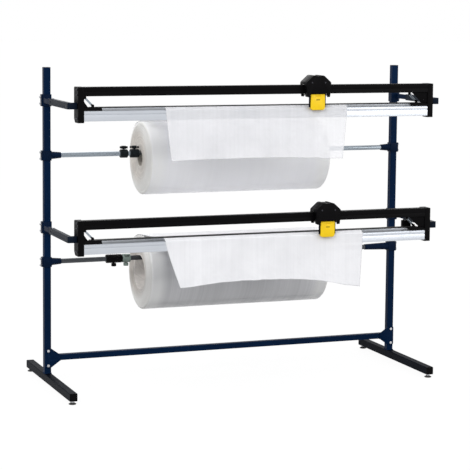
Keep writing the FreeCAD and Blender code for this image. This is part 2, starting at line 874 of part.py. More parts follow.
def make_hood(tier, level, x):
    front = unit_front - hood_front_stand
    back = unit_front + rail_depth + hood_back_stand
    notch = [(hood_lobe_inner, -hood_lobe_drop), (hood_lobe_inner - hood_wall, -hood_notch_drop),
             (hood_wall - hood_lobe_inner, -hood_notch_drop), (-hood_lobe_inner, -hood_lobe_drop)]
    points = [(x + u, level + v) for u, v in hood_outline(0) + notch]
    radii = [hood_corner, 0] + [hood_dome_corner] * 4 + [0, hood_corner, 0, 0, 0, 0]
    shell = prism(points, radii, on_y(front), Vector(0, back - front, 0))
    pocket = [(x + u, level + v) for u, v in hood_outline(hood_wall)]
    pocket[0] = (pocket[0][0], level - hood_lobe_drop - overrun)
    pocket[-1] = (pocket[-1][0], level - hood_lobe_drop - overrun)
    inner = prism(pocket, 0, on_y(front + hood_wall), Vector(0, back - front - 2 * hood_wall, 0))
    shell = shell.cut(inner)
    passage = block((x - hood_half_width - overrun, x + hood_half_width + overrun),
                    (unit_front - hood_rail_gap, unit_front + rail_depth + hood_rail_gap),
                    (level - hood_lobe_drop - overrun, level + hood_rail_gap))
    shell = shell.cut(passage)
    grip = prism([(x - hood_grip_half, level + hood_rise + overrun),
                  (x - hood_grip_half, level + hood_rise - hood_grip_depth / 2),
                  (x, level + hood_rise - hood_wall / 2),
                  (x + hood_grip_half, level + hood_rise - hood_grip_depth / 2),
                  (x + hood_grip_half, level + hood_rise + overrun)],
                 0, on_y(front - overrun), Vector(0, back - front + 2 * overrun, 0))
    shell = shell.cut(grip)
    save("carriage_hood_" + tier, [shell.removeSplitter()])
    glides = []
    y = (front + hood_wall, back - hood_wall)
    for sign in (-1.0, 1.0):
        wide = span(x + sign * glide_inner, x + sign * glide_outer)
        over = (level + glide_gap, level + glide_gap + glide_thickness)
        under = (level - rail_height - glide_gap - glide_thickness, level - rail_height - glide_gap)
        glides.append(block(wide, y, over))
        low = span(x + sign * hood_lobe_inner, x + sign * (glide_outer - hood_wall))
        glides.append(block(low, (y[0], unit_front + glide_under_depth), under))
    save("carriage_glides_" + tier, glides)


def make_blade_frame(tier, level, x):
    front = unit_front - frame_front_stand
    back = unit_front - frame_film_gap
    top = level - hood_notch_drop
    bottom = level - frame_drop
    wide = (x - frame_half_width, x + frame_half_width)
    narrow = hood_lobe_inner - hood_wall
    flange = block((x - narrow, x + narrow), (unit_front - hood_front_stand, back),
                   (top - frame_wall, top))
    plate = block(wide, (back - frame_wall, back), (bottom, top - frame_wall))
    frame = flange.fuse(plate)
    for sign in (-1.0, 1.0):
        cheek = span(x + sign * (frame_half_width - frame_wall), x + sign * frame_half_width)
        frame = frame.fuse(block(cheek, (front, back), (bottom, top - frame_wall)))
    window = block((x - frame_window_half, x + frame_window_half), (back - overrun, back + overrun),
                   (level - frame_window_low_drop, level - frame_window_high_drop))
    save("blade_frame_" + tier, [frame.removeSplitter().cut(window)])


def make_holder(tier, level, x):
    front = unit_front - holder_front
    back = unit_front - frame_film_gap - frame_wall - glide_gap
    half = frame_half_width - frame_wall - holder_side_gap
    top = level - holder_top_drop
    bottom = level - holder_drop
    points = [(x - half, bottom), (x - half, top), (x + half, top), (x + half, bottom)]
    radii = [holder_corner, holder_round, holder_round, holder_corner]
    body = prism(points, radii, on_y(front), Vector(0, back - front, 0))
    rim = [e for e in body.Edges if e.BoundBox.YMax < front + running_gap]
    body = body.makeChamfer(holder_bevel, rim)
    dimple = block((x - holder_dimple_width / 2, x + holder_dimple_width / 2),
                   (front - overrun, front + holder_dimple_depth),
                   (top - 2 * holder_dimple_height - holder_bevel,
                    top - holder_dimple_height - holder_bevel))
    body = body.cut(dimple)
    blade_y = unit_front + slot_setback - blade_thickness / 2
    arm = block((x - holder_arm_half, x + holder_arm_half), (back - frame_wall, blade_y),
                (level - holder_arm_low_drop, level - holder_arm_high_drop))
    save("blade_holder_" + tier, [body.fuse(arm).removeSplitter()])
    points = [(x - blade_half_width, level - blade_top_drop),
              (x - blade_half_width, level - blade_shoulder_drop), (x, level - blade_tip_drop),
              (x + blade_half_width, level - blade_shoulder_drop),
              (x + blade_half_width, level - blade_top_drop)]
    save("blade_" + tier, [prism(points, 0, on_y(blade_y), Vector(0, blade_thickness, 0))])


def unit_screws(level):
    screws = []
    for side, sign in sides:
        spots = [(unit_front + rail_depth / 2, level - unit_screw_inset),
                 (unit_front + rail_depth / 2, level - rail_height + unit_screw_inset / 2),
                 (unit_front + unit_screw_inset, level - bar_bottom_drop + unit_screw_inset),
                 (unit_front + bracket_depth / 2, level - bar_bottom_drop + unit_screw_inset)]
        for y, z in spots:
            head = round_bar(Vector(sign * bracket_outer, y, z), Vector(sign, 0, 0),
                             unit_screw_head, unit_screw_head_height)
            screws.append(head)
    return screws


def make_cutting_units():
    blocks = []
    screws = []
    for tier, level, x in zip(tiers, unit_levels, carriage_places):
        make_rail(tier, level)
        make_brackets(tier, level)
        make_bar(tier, level)
        make_clamp(tier, level)
        make_hood(tier, level, x)
        make_blade_frame(tier, level, x)
        make_holder(tier, level, x)
        blocks += end_blocks(level)
        screws += unit_screws(level)
    save("bar_end_blocks", blocks)
    save("unit_screws", screws)


def film_path(level, i, hem):
    # Side view of the web, along its middle: roll, rear edge of the bar, slope, front, hem.
    lift = film_gap + film_thickness / 2
    radius = roll_diameters[i] / 2 + lift
    centre = Vector(post_y, roll_centre(i), 0)
    edge = Vector(unit_front + bar_depth, level - bar_drop + lift, 0)
    away = edge - centre
    turn = math.atan2(away.y, away.x) - math.acos(radius / away.Length)
    touch = centre + Vector(math.cos(turn), math.sin(turn), 0) * radius
    front = unit_front - lift
    return [(touch.x, touch.y), (edge.x, edge.y),
            (unit_front + bar_slope_depth, edge.y),
            (front, level - bar_lip_drop + lift),
            (front, level - hem)]


def offset_path(path, distance):
    # The path moved sideways by a distance, with each corner where the moved runs meet.
    moved = []
    for i in range(len(path)):
        normals = []
        for a, b in ((i - 1, i), (i, i + 1)):
            if a >= 0 and b < len(path):
                run = Vector(path[b][0] - path[a][0], path[b][1] - path[a][1], 0).normalize()
                normals.append(Vector(-run.y, run.x, 0))
        middle = normals[0] + normals[-1]
        middle.normalize()
        reach = distance / middle.dot(normals[0])
        moved.append((path[i][0] + middle.x * reach, path[i][1] + middle.y * reach))
    return moved


def make_webs():
    for i, (tier, level) in enumerate(zip(tiers, unit_levels)):
        deepest = max(film_hem_left[i], film_hem_right[i]) + overrun
        path = film_path(level, i, deepest)
        half = film_thickness / 2
        above = offset_path(path, half)
        below = offset_path(path, -half)
        ring = above + below[::-1]
        inner = film_bend
        outer = film_bend + film_thickness
        above_radii = [0, inner, inner, inner, 0]
        below_radii = [0, outer, outer, outer, 0]
        if offset_turns_left(path, 1):
            above_radii[1], below_radii[1] = inner, outer
        else:
            above_radii[1], below_radii[1] = outer, inner
        above_radii[2:4] = [inner, inner]
        below_radii[2:4] = [outer, outer]
        width = film_right[i] - film_left
        sheet = prism(ring, above_radii + below_radii[::-1], on_x(film_left), Vector(width, 0, 0))
        save("film_web_" + tier, [sheet.common(web_outline(level, i))])


def offset_turns_left(path, i):
    a = Vector(path[i][0] - path[i - 1][0], path[i][1] - path[i - 1][1], 0)
    b = Vector(path[i + 1][0] - path[i][0], path[i + 1][1] - path[i][1], 0)
    return a.cross(b).z > 0


def web_outline(level, i):
    # Front view of the web: straight above the bar's lip, drawn in a little below it, wavy hem.
    lip = level - bar_lip_drop
    front = unit_front - overrun
    width = film_right[i] - film_left
    low_left = film_left + film_left_drop_share[i] * width
    low_right = film_right[i] - film_right_drop_share[i] * width
    hems = (film_hem_left[i], film_hem_quarter[i], film_hem_middle[i],
            film_hem_three_quarter[i], film_hem_right[i])
    spots = []
    for step, hem in enumerate(hems):
        spots.append(Vector(low_left + (low_right - low_left) * step / (len(hems) - 1),
                            front, level - hem))
    hem_curve = Part.BSplineCurve()
    hem_curve.interpolate(spots)
    corners = [spots[-1], Vector(film_right[i], front, lip), Vector(film_right[i], front, level),
               Vector(film_left, front, level), Vector(film_left, front, lip), spots[0]]
    edges = [hem_curve.toShape()]
    for a, b in zip(corners, corners[1:]):
        edges.append(Part.LineSegment(a, b).toShape())
    depth = unit_reach + roll_diameters[i] / 2 + overrun
    return Part.Face(Part.Wire(edges)).extrude(Vector(0, depth, 0))


def main():
    os.makedirs("parts", exist_ok=True)
    make_posts()
    make_feet()
    make_levelling_feet()
    make_crossbar()
    make_arm_clamps()
    make_arms()
    make_axles()
    make_fasteners()
    make_rolls()
    make_collars()
    make_cutting_units()
    make_webs()


main()
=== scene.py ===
"""Dresses a two-tier film cutter stand: finishes, soft film, rolls, fasteners and small fittings."""

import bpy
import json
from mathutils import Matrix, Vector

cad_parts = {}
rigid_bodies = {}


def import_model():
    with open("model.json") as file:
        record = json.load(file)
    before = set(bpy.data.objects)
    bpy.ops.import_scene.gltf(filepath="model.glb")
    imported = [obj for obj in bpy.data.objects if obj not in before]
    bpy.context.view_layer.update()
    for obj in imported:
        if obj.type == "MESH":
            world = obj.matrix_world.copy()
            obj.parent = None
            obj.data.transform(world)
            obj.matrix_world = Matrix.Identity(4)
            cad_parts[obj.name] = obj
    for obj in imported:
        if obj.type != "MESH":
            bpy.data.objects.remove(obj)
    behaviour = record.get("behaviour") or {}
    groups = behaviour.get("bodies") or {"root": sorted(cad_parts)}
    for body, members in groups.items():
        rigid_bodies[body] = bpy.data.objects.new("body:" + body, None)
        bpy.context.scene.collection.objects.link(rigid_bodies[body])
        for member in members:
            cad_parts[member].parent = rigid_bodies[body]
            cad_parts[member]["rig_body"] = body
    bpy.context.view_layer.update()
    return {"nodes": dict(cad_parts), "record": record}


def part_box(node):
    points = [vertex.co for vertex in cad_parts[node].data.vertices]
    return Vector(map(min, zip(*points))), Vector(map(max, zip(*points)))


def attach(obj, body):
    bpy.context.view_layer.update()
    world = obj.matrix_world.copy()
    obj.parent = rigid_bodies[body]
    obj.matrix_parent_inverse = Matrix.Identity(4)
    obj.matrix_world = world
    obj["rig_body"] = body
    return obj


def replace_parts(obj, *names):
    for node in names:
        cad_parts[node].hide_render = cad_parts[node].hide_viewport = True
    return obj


bl_info = {
    "name": "Two-Tier Film Cutter Stand",
    "version": (1, 0, 0),
    "blender": (4, 5, 0),
    "location": "3D View > Sidebar > Film Stand",
    "description": "Finishes, film, rolls and small fittings for a floor-standing film cutter stand",
    "category": "Object",
}

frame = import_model()

import json
import math

import bmesh
import bpy
from mathutils import Matrix, Vector, noise

TIERS = ("upper", "lower")


# ---------------------------------------------------------------- measures taken from the frame

def unit_levels(tier):
    """Front plane, rail top, and the bar's top, back, bottom and lip of one cutting unit."""
    rail_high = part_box("guide_rail_" + tier)[1]
    bar_low, bar_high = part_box("cutting_bar_" + tier)
    return {
        "front": bar_low.y,
        "rail_top": rail_high.z,
        "bar_top": bar_high.z,
        "bar_back": bar_high.y,
        "bar_bottom": bar_low.z,
        "lip": bar_high.z - 0.012,
    }


def roll_measures(tier):
    low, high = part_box("film_roll_" + tier)
    core_low, core_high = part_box("roll_core_" + tier)
    return {
        "left": low.x,
        "right": high.x,
        "centre": Vector((0, (low.y + high.y) / 2, (low.z + high.z) / 2)),
        "radius": (high.y - low.y) / 2,
        "core": (core_high.y - core_low.y) / 2,
    }


# ---------------------------------------------------------------- settings a user would change

# camera: turn, dip and lean in degrees; its place, in y from the posts; lens in mm; upward shift
CAMERA_ANGLES = (21.095, 6.6, 0.568)
CAMERA_PLACE = (-3.2860, -8.6569, 2.0101)
CAMERA_LENS = 134.81
CAMERA_SHIFT = -0.0803
# name, place, aim height, size in metres and power in watts
LAMPS = (("Key Lamp", (-4.5, -5.5, 5.5), 0.8, 3.5, 225.0),
         ("Fill Lamp", (5.0, -5.0, 3.0), 0.9, 4.0, 92.0),
         ("Back Lamp", (1.0, 5.5, 4.5), 0.9, 3.5, 60.0))
FLOOR_REACH = 60.0


def colour_setting(name, description, default):
    return bpy.props.FloatVectorProperty(
        name=name, description=description, subtype="COLOR", size=3, min=0, max=1, default=default)


def length_setting(name, description, low, high, default):
    return bpy.props.FloatProperty(
        name=name, description=description, unit="LENGTH", min=low, max=high, default=default)


class StandColours(bpy.types.PropertyGroup):
    post_paint: colour_setting(
        "Post paint", "Blue powder coat of the posts and crossbar", (0.0012, 0.0125, 0.045))
    foot_paint: colour_setting("Foot paint", "Dark powder coat of the feet", (0.0012, 0.0025, 0.0070))
    arm_paint: colour_setting("Arm paint", "Grey-blue coat of the arms", (0.006, 0.011, 0.022))
    black_coat: colour_setting(
        "Black coat", "Anodised black of rails and brackets", (0.0022, 0.0019, 0.0024))
    holder_yellow: colour_setting(
        "Holder yellow", "Moulded yellow of the blade holders", (0.90, 0.60, 0.005))
    film_white: colour_setting("Film white", "Milky white of the film", (0.905, 0.905, 0.925))
    roll_end: colour_setting("Roll end", "Warm grey of the layer edges at a roll's end", (0.36, 0.335, 0.31))


class StandSizes(bpy.types.PropertyGroup):
    film_thickness: length_setting(
        "Film thickness", "Thickness of the hanging film", 0.0001, 0.002, 0.0005)
    film_wave: length_setting("Film wave", "How far the hem swings forward", 0, 0.02, 0.009)
    film_sag: length_setting("Film sag", "Sag of the film between roll and bar", 0, 0.02, 0.004)
    roll_rim: length_setting("Roll rim", "Rounding of a roll's soft rims", 0.002, 0.03, 0.015)
    edge_round: length_setting(
        "Edge rounding", "Rounding of the sharp edges of machined and cast parts", 0.0001, 0.003, 0.0009)
    thread_pitch: length_setting("Thread pitch", "Pitch of the levelling stems", 0.0005, 0.004, 0.0015)
    bead_spacing: length_setting(
        "Weld bead spacing", "Distance between the ripples of a weld", 0.001, 0.01, 0.0028)
    thumb_ribs: bpy.props.IntProperty(
        name="Thumb ribs", description="Ribs round a thumbscrew's head", min=8, max=60, default=26)


# ---------------------------------------------------------------- node helpers

FLOAT, WHOLE, VECTOR, COLOUR, SHAPE, MATERIAL = (
    "NodeSocket" + kind for kind in ("Float", "Int", "Vector", "Color", "Geometry", "Material"))


def fill(tree, node, values):
    """Sets inputs by name or place: a socket is linked to them, anything else is their constant."""
    for key, value in values.items():
        socket = node.inputs[key]
        if isinstance(value, bpy.types.NodeSocket):
            tree.links.new(value, socket)
        else:
            socket.default_value = value


def add(tree, kind, settings=None, values=None):
    """One node with its settings and inputs."""
    node = tree.nodes.new(kind)
    for key, value in (settings or {}).items():
        setattr(node, key, value)
    fill(tree, node, values or {})
    return node


def new_group(name, kind, inputs, outputs):
    """An empty group with named sockets. Inputs are (name, type, default)."""
    tree = bpy.data.node_groups.new(name, kind)
    for label, socket, default in inputs:
        made = tree.interface.new_socket(name=label, in_out="INPUT", socket_type=socket)
        if default is not None:
            made.default_value = default
    for label, socket in outputs:
        tree.interface.new_socket(name=label, in_out="OUTPUT", socket_type=socket)
    return tree, tree.nodes.new("NodeGroupInput").outputs, tree.nodes.new("NodeGroupOutput").inputs


def maths(tree, operation, first, second=0.0, clamp=False):
    node = add(tree, "ShaderNodeMath", {"operation": operation, "use_clamp": clamp}, {0: first, 1: second})
    return node.outputs[0]


def weighted(tree, *parts):
    """The sum of some values, each times its share."""
    total = None
    for value, share in parts:
        part = maths(tree, "MULTIPLY", value, share)
        total = part if total is None else maths(tree, "ADD", total, part)
    return total


def vectors(tree, operation, first, second=(0, 0, 0)):
    node = add(tree, "ShaderNodeVectorMath", {"operation": operation}, {0: first, 1: second})
    return node.outputs["Value" if operation in ("LENGTH", "DISTANCE") else "Vector"]


def blend_colour(tree, factor, first, second):
    node = add(tree, "ShaderNodeMix", {"data_type": "RGBA"}, {0: factor, 6: first, 7: second})
    return node.outputs[2]


def stretch(tree, value, low, high, to_low=0.0, to_high=1.0):
    node = add(tree, "ShaderNodeMapRange", None, {0: value, 1: low, 2: high, 3: to_low, 4: to_high})
    return node.outputs[0]


def inverse(tree, value):
    return maths(tree, "DIVIDE", 1.0, value)


def own_place(tree):
    return tree.nodes.new("ShaderNodeTexCoord").outputs["Object"]


def cloudy(tree, place, rate, detail, distortion=0.0):
    node = add(tree, "ShaderNodeTexNoise", None,
               {"Vector": place, "Scale": rate, "Detail": detail, "Distortion": distortion})
    return node.outputs[0]


# ---------------------------------------------------------------- shader groups

def colour_group(name, extra, outputs):
    """A group that mixes a colour and its shade by a pattern, and gives values of that pattern too."""
    return new_group(name, "ShaderNodeTree", [
        ("Color", COLOUR, None), ("Shade", COLOUR, None), ("Contrast", FLOAT, None)] + extra,
        [("Color", COLOUR)] + [(label, FLOAT) for label in outputs])


def mix_by(tree, pattern, given, out):
    share = maths(tree, "MULTIPLY", pattern, given["Contrast"], True)
    tree.links.new(blend_colour(tree, share, given["Color"], given["Shade"]), out["Color"])


def mask_group(name, extra, amount):
    """A group that gives only a mask."""
    return new_group(name, "ShaderNodeTree", extra + [("Amount", FLOAT, amount)], [("Mask", FLOAT)])


def give_mask(tree, first, second, given, out):
    both = maths(tree, "MULTIPLY", first, second)
    tree.links.new(maths(tree, "MULTIPLY", both, given["Amount"], True), out["Mask"])


def make_mottle():
    tree, given, out = colour_group(
        "Patchy Colour and Grain", [("Patch Size", FLOAT, 0.2), ("Grain Size", FLOAT, 0.001)], ["Grain"])
    spot = own_place(tree)
    patch = stretch(tree, cloudy(tree, spot, inverse(tree, given["Patch Size"]), 4.0), 0.36, 0.64)
    speck = stretch(tree, cloudy(tree, spot, inverse(tree, given["Grain Size"]), 2.0), 0.3, 0.7)
    mix_by(tree, weighted(tree, (patch, 0.75), (speck, 0.25)), given, out)
    tree.links.new(speck, out["Grain"])
    return tree


def make_scuffs():
    tree, given, out = mask_group("Fine Scuffs", [("Spacing", FLOAT, 0.05)], 0.3)
    spot = own_place(tree)
    rate = inverse(tree, given["Spacing"])
    found = None
    for turn, long in ((0.5, (1, 14, 5)), (1.3, (12, 1, 7)), (2.4, (6, 16, 1))):
        place = add(tree, "ShaderNodeMapping", None,
                    {"Vector": spot, "Rotation": (turn, turn * 1.7, turn * 0.6), "Scale": long})
        line = stretch(tree, cloudy(tree, place.outputs[0], rate, 1.0), 0.70, 0.78)
        found = line if found is None else maths(tree, "MAXIMUM", found, line)
    give_mask(tree, found, stretch(tree, cloudy(tree, spot, 9.0, 2.0), 0.45, 0.62), given, out)
    return tree


def make_dust():
    tree, given, out = mask_group("Settled Dust", [], 0.2)
    normal = tree.nodes.new("ShaderNodeNewGeometry").outputs["Normal"]
    up = add(tree, "ShaderNodeSeparateXYZ", None, {0: normal}).outputs[2]
    fleck = stretch(tree, cloudy(tree, own_place(tree), 35.0, 6.0), 0.35, 0.7)
    give_mask(tree, stretch(tree, up, 0.55, 1.0), fleck, given, out)
    return tree


def make_drawn():
    tree, given, out = colour_group("Drawn Metal Lines", [("Lines", VECTOR, None)], ["Height"])
    spot = own_place(tree)
    long = vectors(tree, "MULTIPLY", spot, given["Lines"])
    line = stretch(tree, cloudy(tree, long, 1.0, 3.0), 0.3, 0.7)
    patch = stretch(tree, cloudy(tree, spot, 8.0, 2.0), 0.3, 0.7)
    mix_by(tree, weighted(tree, (line, 0.7), (patch, 0.3)), given, out)
    tree.links.new(line, out["Height"])
    return tree


def make_film_streaks():
    tree, given, out = colour_group("Film Streaks", [], ["Height", "Density"])
    spot = own_place(tree)
    bands = []
    for across, along, share in ((24.0, 0.6, 0.45), (110.0, 1.6, 0.35), (6.0, 2.5, 0.2)):
        long = vectors(tree, "MULTIPLY", spot, (across, along, along))
        bands.append((stretch(tree, cloudy(tree, long, 1.0, 2.0, 0.4), 0.3, 0.7), share))
    height = weighted(tree, *bands)
    mix_by(tree, height, given, out)
    tree.links.new(height, out["Height"])
    tree.links.new(stretch(tree, cloudy(tree, spot, 5.0, 3.0), 0.3, 0.7), out["Density"])
    return tree


def make_rings():
    tree, given, out = colour_group(
        "Wound Layers", [("Centre", VECTOR, None), ("Layers", FLOAT, 900.0)], ["Height", "Distance"])
    spot = own_place(tree)
    flat = vectors(tree, "MULTIPLY", vectors(tree, "SUBTRACT", spot, given["Centre"]), (0, 1, 1))
    # the outer turns are measured from a point beside the centre, so their pale ring, partly painted
    # highlight, lies wider on the front side
    tree.links.new(vectors(tree, "DISTANCE", flat, (0, 0.045, 0.010)), out["Distance"])
    wobble = maths(tree, "MULTIPLY", cloudy(tree, spot, 14.0, 3.0), 0.004)
    near = maths(tree, "ADD", vectors(tree, "LENGTH", flat), wobble)
    fine, broad = (
        add(tree, "ShaderNodeTexNoise", {"noise_dimensions": "1D"},
            {"W": maths(tree, "MULTIPLY", near, rate), "Scale": 1.0, "Detail": detail}).outputs[0]
        for rate, detail in ((given["Layers"], 3.0), (70.0, 2.0)))
    ring = stretch(tree, fine, 0.25, 0.75)
    band = stretch(tree, broad, 0.3, 0.7)
    smear = stretch(tree, cloudy(tree, spot, 40.0, 5.0), 0.3, 0.7)
    mix_by(tree, weighted(tree, (ring, 0.4), (band, 0.35), (smear, 0.25)), given, out)
    tree.links.new(ring, out["Height"])
    return tree


def shader_groups():
    makers = {"mottle": make_mottle, "scuffs": make_scuffs, "dust": make_dust, "drawn": make_drawn,
              "streaks": make_film_streaks, "rings": make_rings}
    return {key: make() for key, make in makers.items()}


# ---------------------------------------------------------------- materials

GROUPS = {}
FINISH = {}


def rgba(colour):
    return (colour[0], colour[1], colour[2], 1.0)


def lighter(colour, times, lift=0.0):
    return tuple(min(1.0, c * times + lift) for c in colour[:3])


def start_material(name, shader):
    """A material with only its Principled shader; the values given stand on the shader's own sockets."""
    material = bpy.data.materials.new(name)
    material.use_nodes = True
    tree = material.node_tree
    principled = tree.nodes["Principled BSDF"]
    fill(tree, principled, shader)
    return material, tree, principled


def use_group(tree, key, values):
    return add(tree, "ShaderNodeGroup", {"node_tree": GROUPS[key]}, values).outputs


def patterned(tree, key, colour, shade, contrast, extra=None):
    """A colour group between a colour and its shade, some times as light."""
    values = {"Color": rgba(colour), "Shade": rgba(lighter(colour, shade)), "Contrast": contrast}
    return use_group(tree, key, {**values, **(extra or {})})


def bump(tree, principled, height, depth, strength=1.0):
    node = add(tree, "ShaderNodeBump", None, {"Strength": strength, "Distance": depth, "Height": height})
    tree.links.new(node.outputs[0], principled.inputs["Normal"])


def worn(tree, body, scuffs, mark, amount, grey):
    """A colour with scuffs and settled dust over it, and the masks of both."""
    marks = use_group(tree, "scuffs", scuffs)["Mask"]
    top = use_group(tree, "dust", {"Amount": amount})["Mask"]
    marked = blend_colour(tree, marks, body["Color"], rgba(mark))
    return blend_colour(tree, top, marked, rgba(grey)), marks, top


def rougher(tree, roughness, grain, wear, share):
    """A roughness that rises with the grain, and by a share of the wear."""
    rough = maths(tree, "ADD", roughness, maths(tree, "MULTIPLY", grain, 0.12))
    return maths(tree, "ADD", rough, maths(tree, "MULTIPLY", wear, share), True)


def coated(name, colour, roughness, patch=0.25, grain=0.0009, depth=0.00006, scuff=0.35, dust=0.12,
           contrast=0.6, specular=0.2):
    """Powder coat, anodising or moulded plastic: patchy colour, orange peel, scuffs and a little dust."""
    material, tree, principled = start_material(name, {"Specular IOR Level": specular})
    body = patterned(tree, "mottle", colour, 0.55, contrast, {"Patch Size": patch, "Grain Size": grain})
    dusty, _, top = worn(tree, body, {"Amount": scuff}, lighter(colour, 2.2, 0.02), dust, (0.42, 0.41, 0.39))
    fill(tree, principled, {"Base Color": dusty,
                            "Roughness": rougher(tree, roughness, body["Grain"], top, 0.5)})
    bump(tree, principled, body["Grain"], depth)
    return material


def drawn_metal(name, colour, roughness, lines, contrast=0.45):
    """Bare metal with fine drawing lines along one axis."""
    material, tree, principled = start_material(name, {"Metallic": 1.0})
    body = patterned(tree, "drawn", colour, 0.7, contrast, {"Lines": lines})
    dusty, marks, _ = worn(tree, body, {"Amount": 0.4, "Spacing": 0.03}, lighter(colour, 0.6), 0.06,
                           (0.5, 0.49, 0.47))
    fill(tree, principled, {"Base Color": dusty,
                            "Roughness": rougher(tree, roughness, body["Height"], marks, 0.3)})
    bump(tree, principled, body["Height"], 0.00002)
    return material


def film_material(name, colour, alpha_low, alpha_high):
    """Thin milky film: streaks along its run, uneven density, a soft sheen."""
    material, tree, principled = start_material(
        name, {"Specular IOR Level": 0.45, "Sheen Weight": 0.15, "Coat Weight": 0.15, "Coat Roughness": 0.15})
    body = patterned(tree, "streaks", colour, 0.88, 0.35)
    fade = add(tree, "ShaderNodeAttribute", {"attribute_name": "film_fade"}).outputs["Fac"]
    dense = stretch(tree, body["Density"], 0.0, 1.0, alpha_low, alpha_high)
    streaky = maths(tree, "SUBTRACT", dense, maths(tree, "MULTIPLY", body["Height"], 0.05))
    fill(tree, principled, {"Base Color": body["Color"],
                            "Alpha": maths(tree, "MULTIPLY", streaky, fade, True),
                            "Roughness": stretch(tree, body["Height"], 0.0, 1.0, 0.32, 0.52)})
    bump(tree, principled, body["Height"], 0.0008, 0.4)
    return material


def roll_side_material(name, colour, contrast, reach):
    """Wound film seen from its side: bands round the roll, and a paler strip near each end that is painted
    highlight along the rims.
    """
    material, tree, principled = start_material(
        name, {"Specular IOR Level": 0.5, "Coat Weight": 0.25, "Coat Roughness": 0.2,
               "Subsurface Weight": 0.15, "Subsurface Radius": (0.02, 0.02, 0.022)})
    body = patterned(tree, "streaks", colour, 0.80, contrast)
    along = add(tree, "ShaderNodeSeparateXYZ", None, {0: own_place(tree)}).outputs[0]
    # the paler strip near each end is painted highlight along the rims
    from_left = stretch(tree, along, reach[0] + 0.095, reach[0] + 0.050)
    from_right = stretch(tree, along, reach[1] - 0.095, reach[1] - 0.050)
    rim_highlight = maths(tree, "MULTIPLY", maths(tree, "MAXIMUM", from_left, from_right), 0.85, True)
    fill(tree, principled, {"Base Color": blend_colour(tree, rim_highlight, body["Color"], (0.96, 0.96, 0.95, 1)),
                            "Roughness": stretch(tree, body["Height"], 0.0, 1.0, 0.3, 0.55)})
    bump(tree, principled, body["Height"], 0.0012, 0.4)
    return material


def roll_end_material(name, colour, centre, radius, contrast):
    """Edges of the wound layers, with paler outer turns that lie wider on the front side of the roll; that
    front rim is partly painted highlight.
    """
    material, tree, principled = start_material(name, {"Specular IOR Level": 0.35, "Roughness": 0.6})
    body = patterned(tree, "rings", colour, 0.75, contrast, {
        "Color": rgba(lighter(colour, 1.35, 0.05)), "Centre": tuple(centre), "Layers": 1100.0})
    # paler outer turns: partly the layers' own tone, partly painted highlight on the front rim
    outer = stretch(tree, body["Distance"], radius - 0.085, radius - 0.030)
    pale = maths(tree, "MULTIPLY", outer, 0.8, True)
    fill(tree, principled, {"Base Color": blend_colour(tree, pale, body["Color"], (0.93, 0.93, 0.91, 1))})
    bump(tree, principled, body["Height"], 0.0008)
    return material


def card_material(name, colour):
    """Wound cardboard tube: fibres, with the slanting seams of its paper strips."""
    material, tree, principled = start_material(name, {"Specular IOR Level": 0.2, "Roughness": 0.8})
    body = patterned(tree, "mottle", colour, 0.78, 0.9, {"Patch Size": 0.03, "Grain Size": 0.0012})
    strips = add(tree, "ShaderNodeTexWave", {"wave_type": "BANDS", "bands_direction": "DIAGONAL"},
                 {"Vector": own_place(tree), "Scale": 9.0, "Distortion": 0.3})
    seam = maths(tree, "MULTIPLY", stretch(tree, strips.outputs["Fac"], 0.94, 1.0), 0.3)
    seamed = blend_colour(tree, seam, body["Color"], rgba(lighter(colour, 0.6)))
    fill(tree, principled, {"Base Color": seamed})
    bump(tree, principled, body["Grain"], 0.0001)
    return material


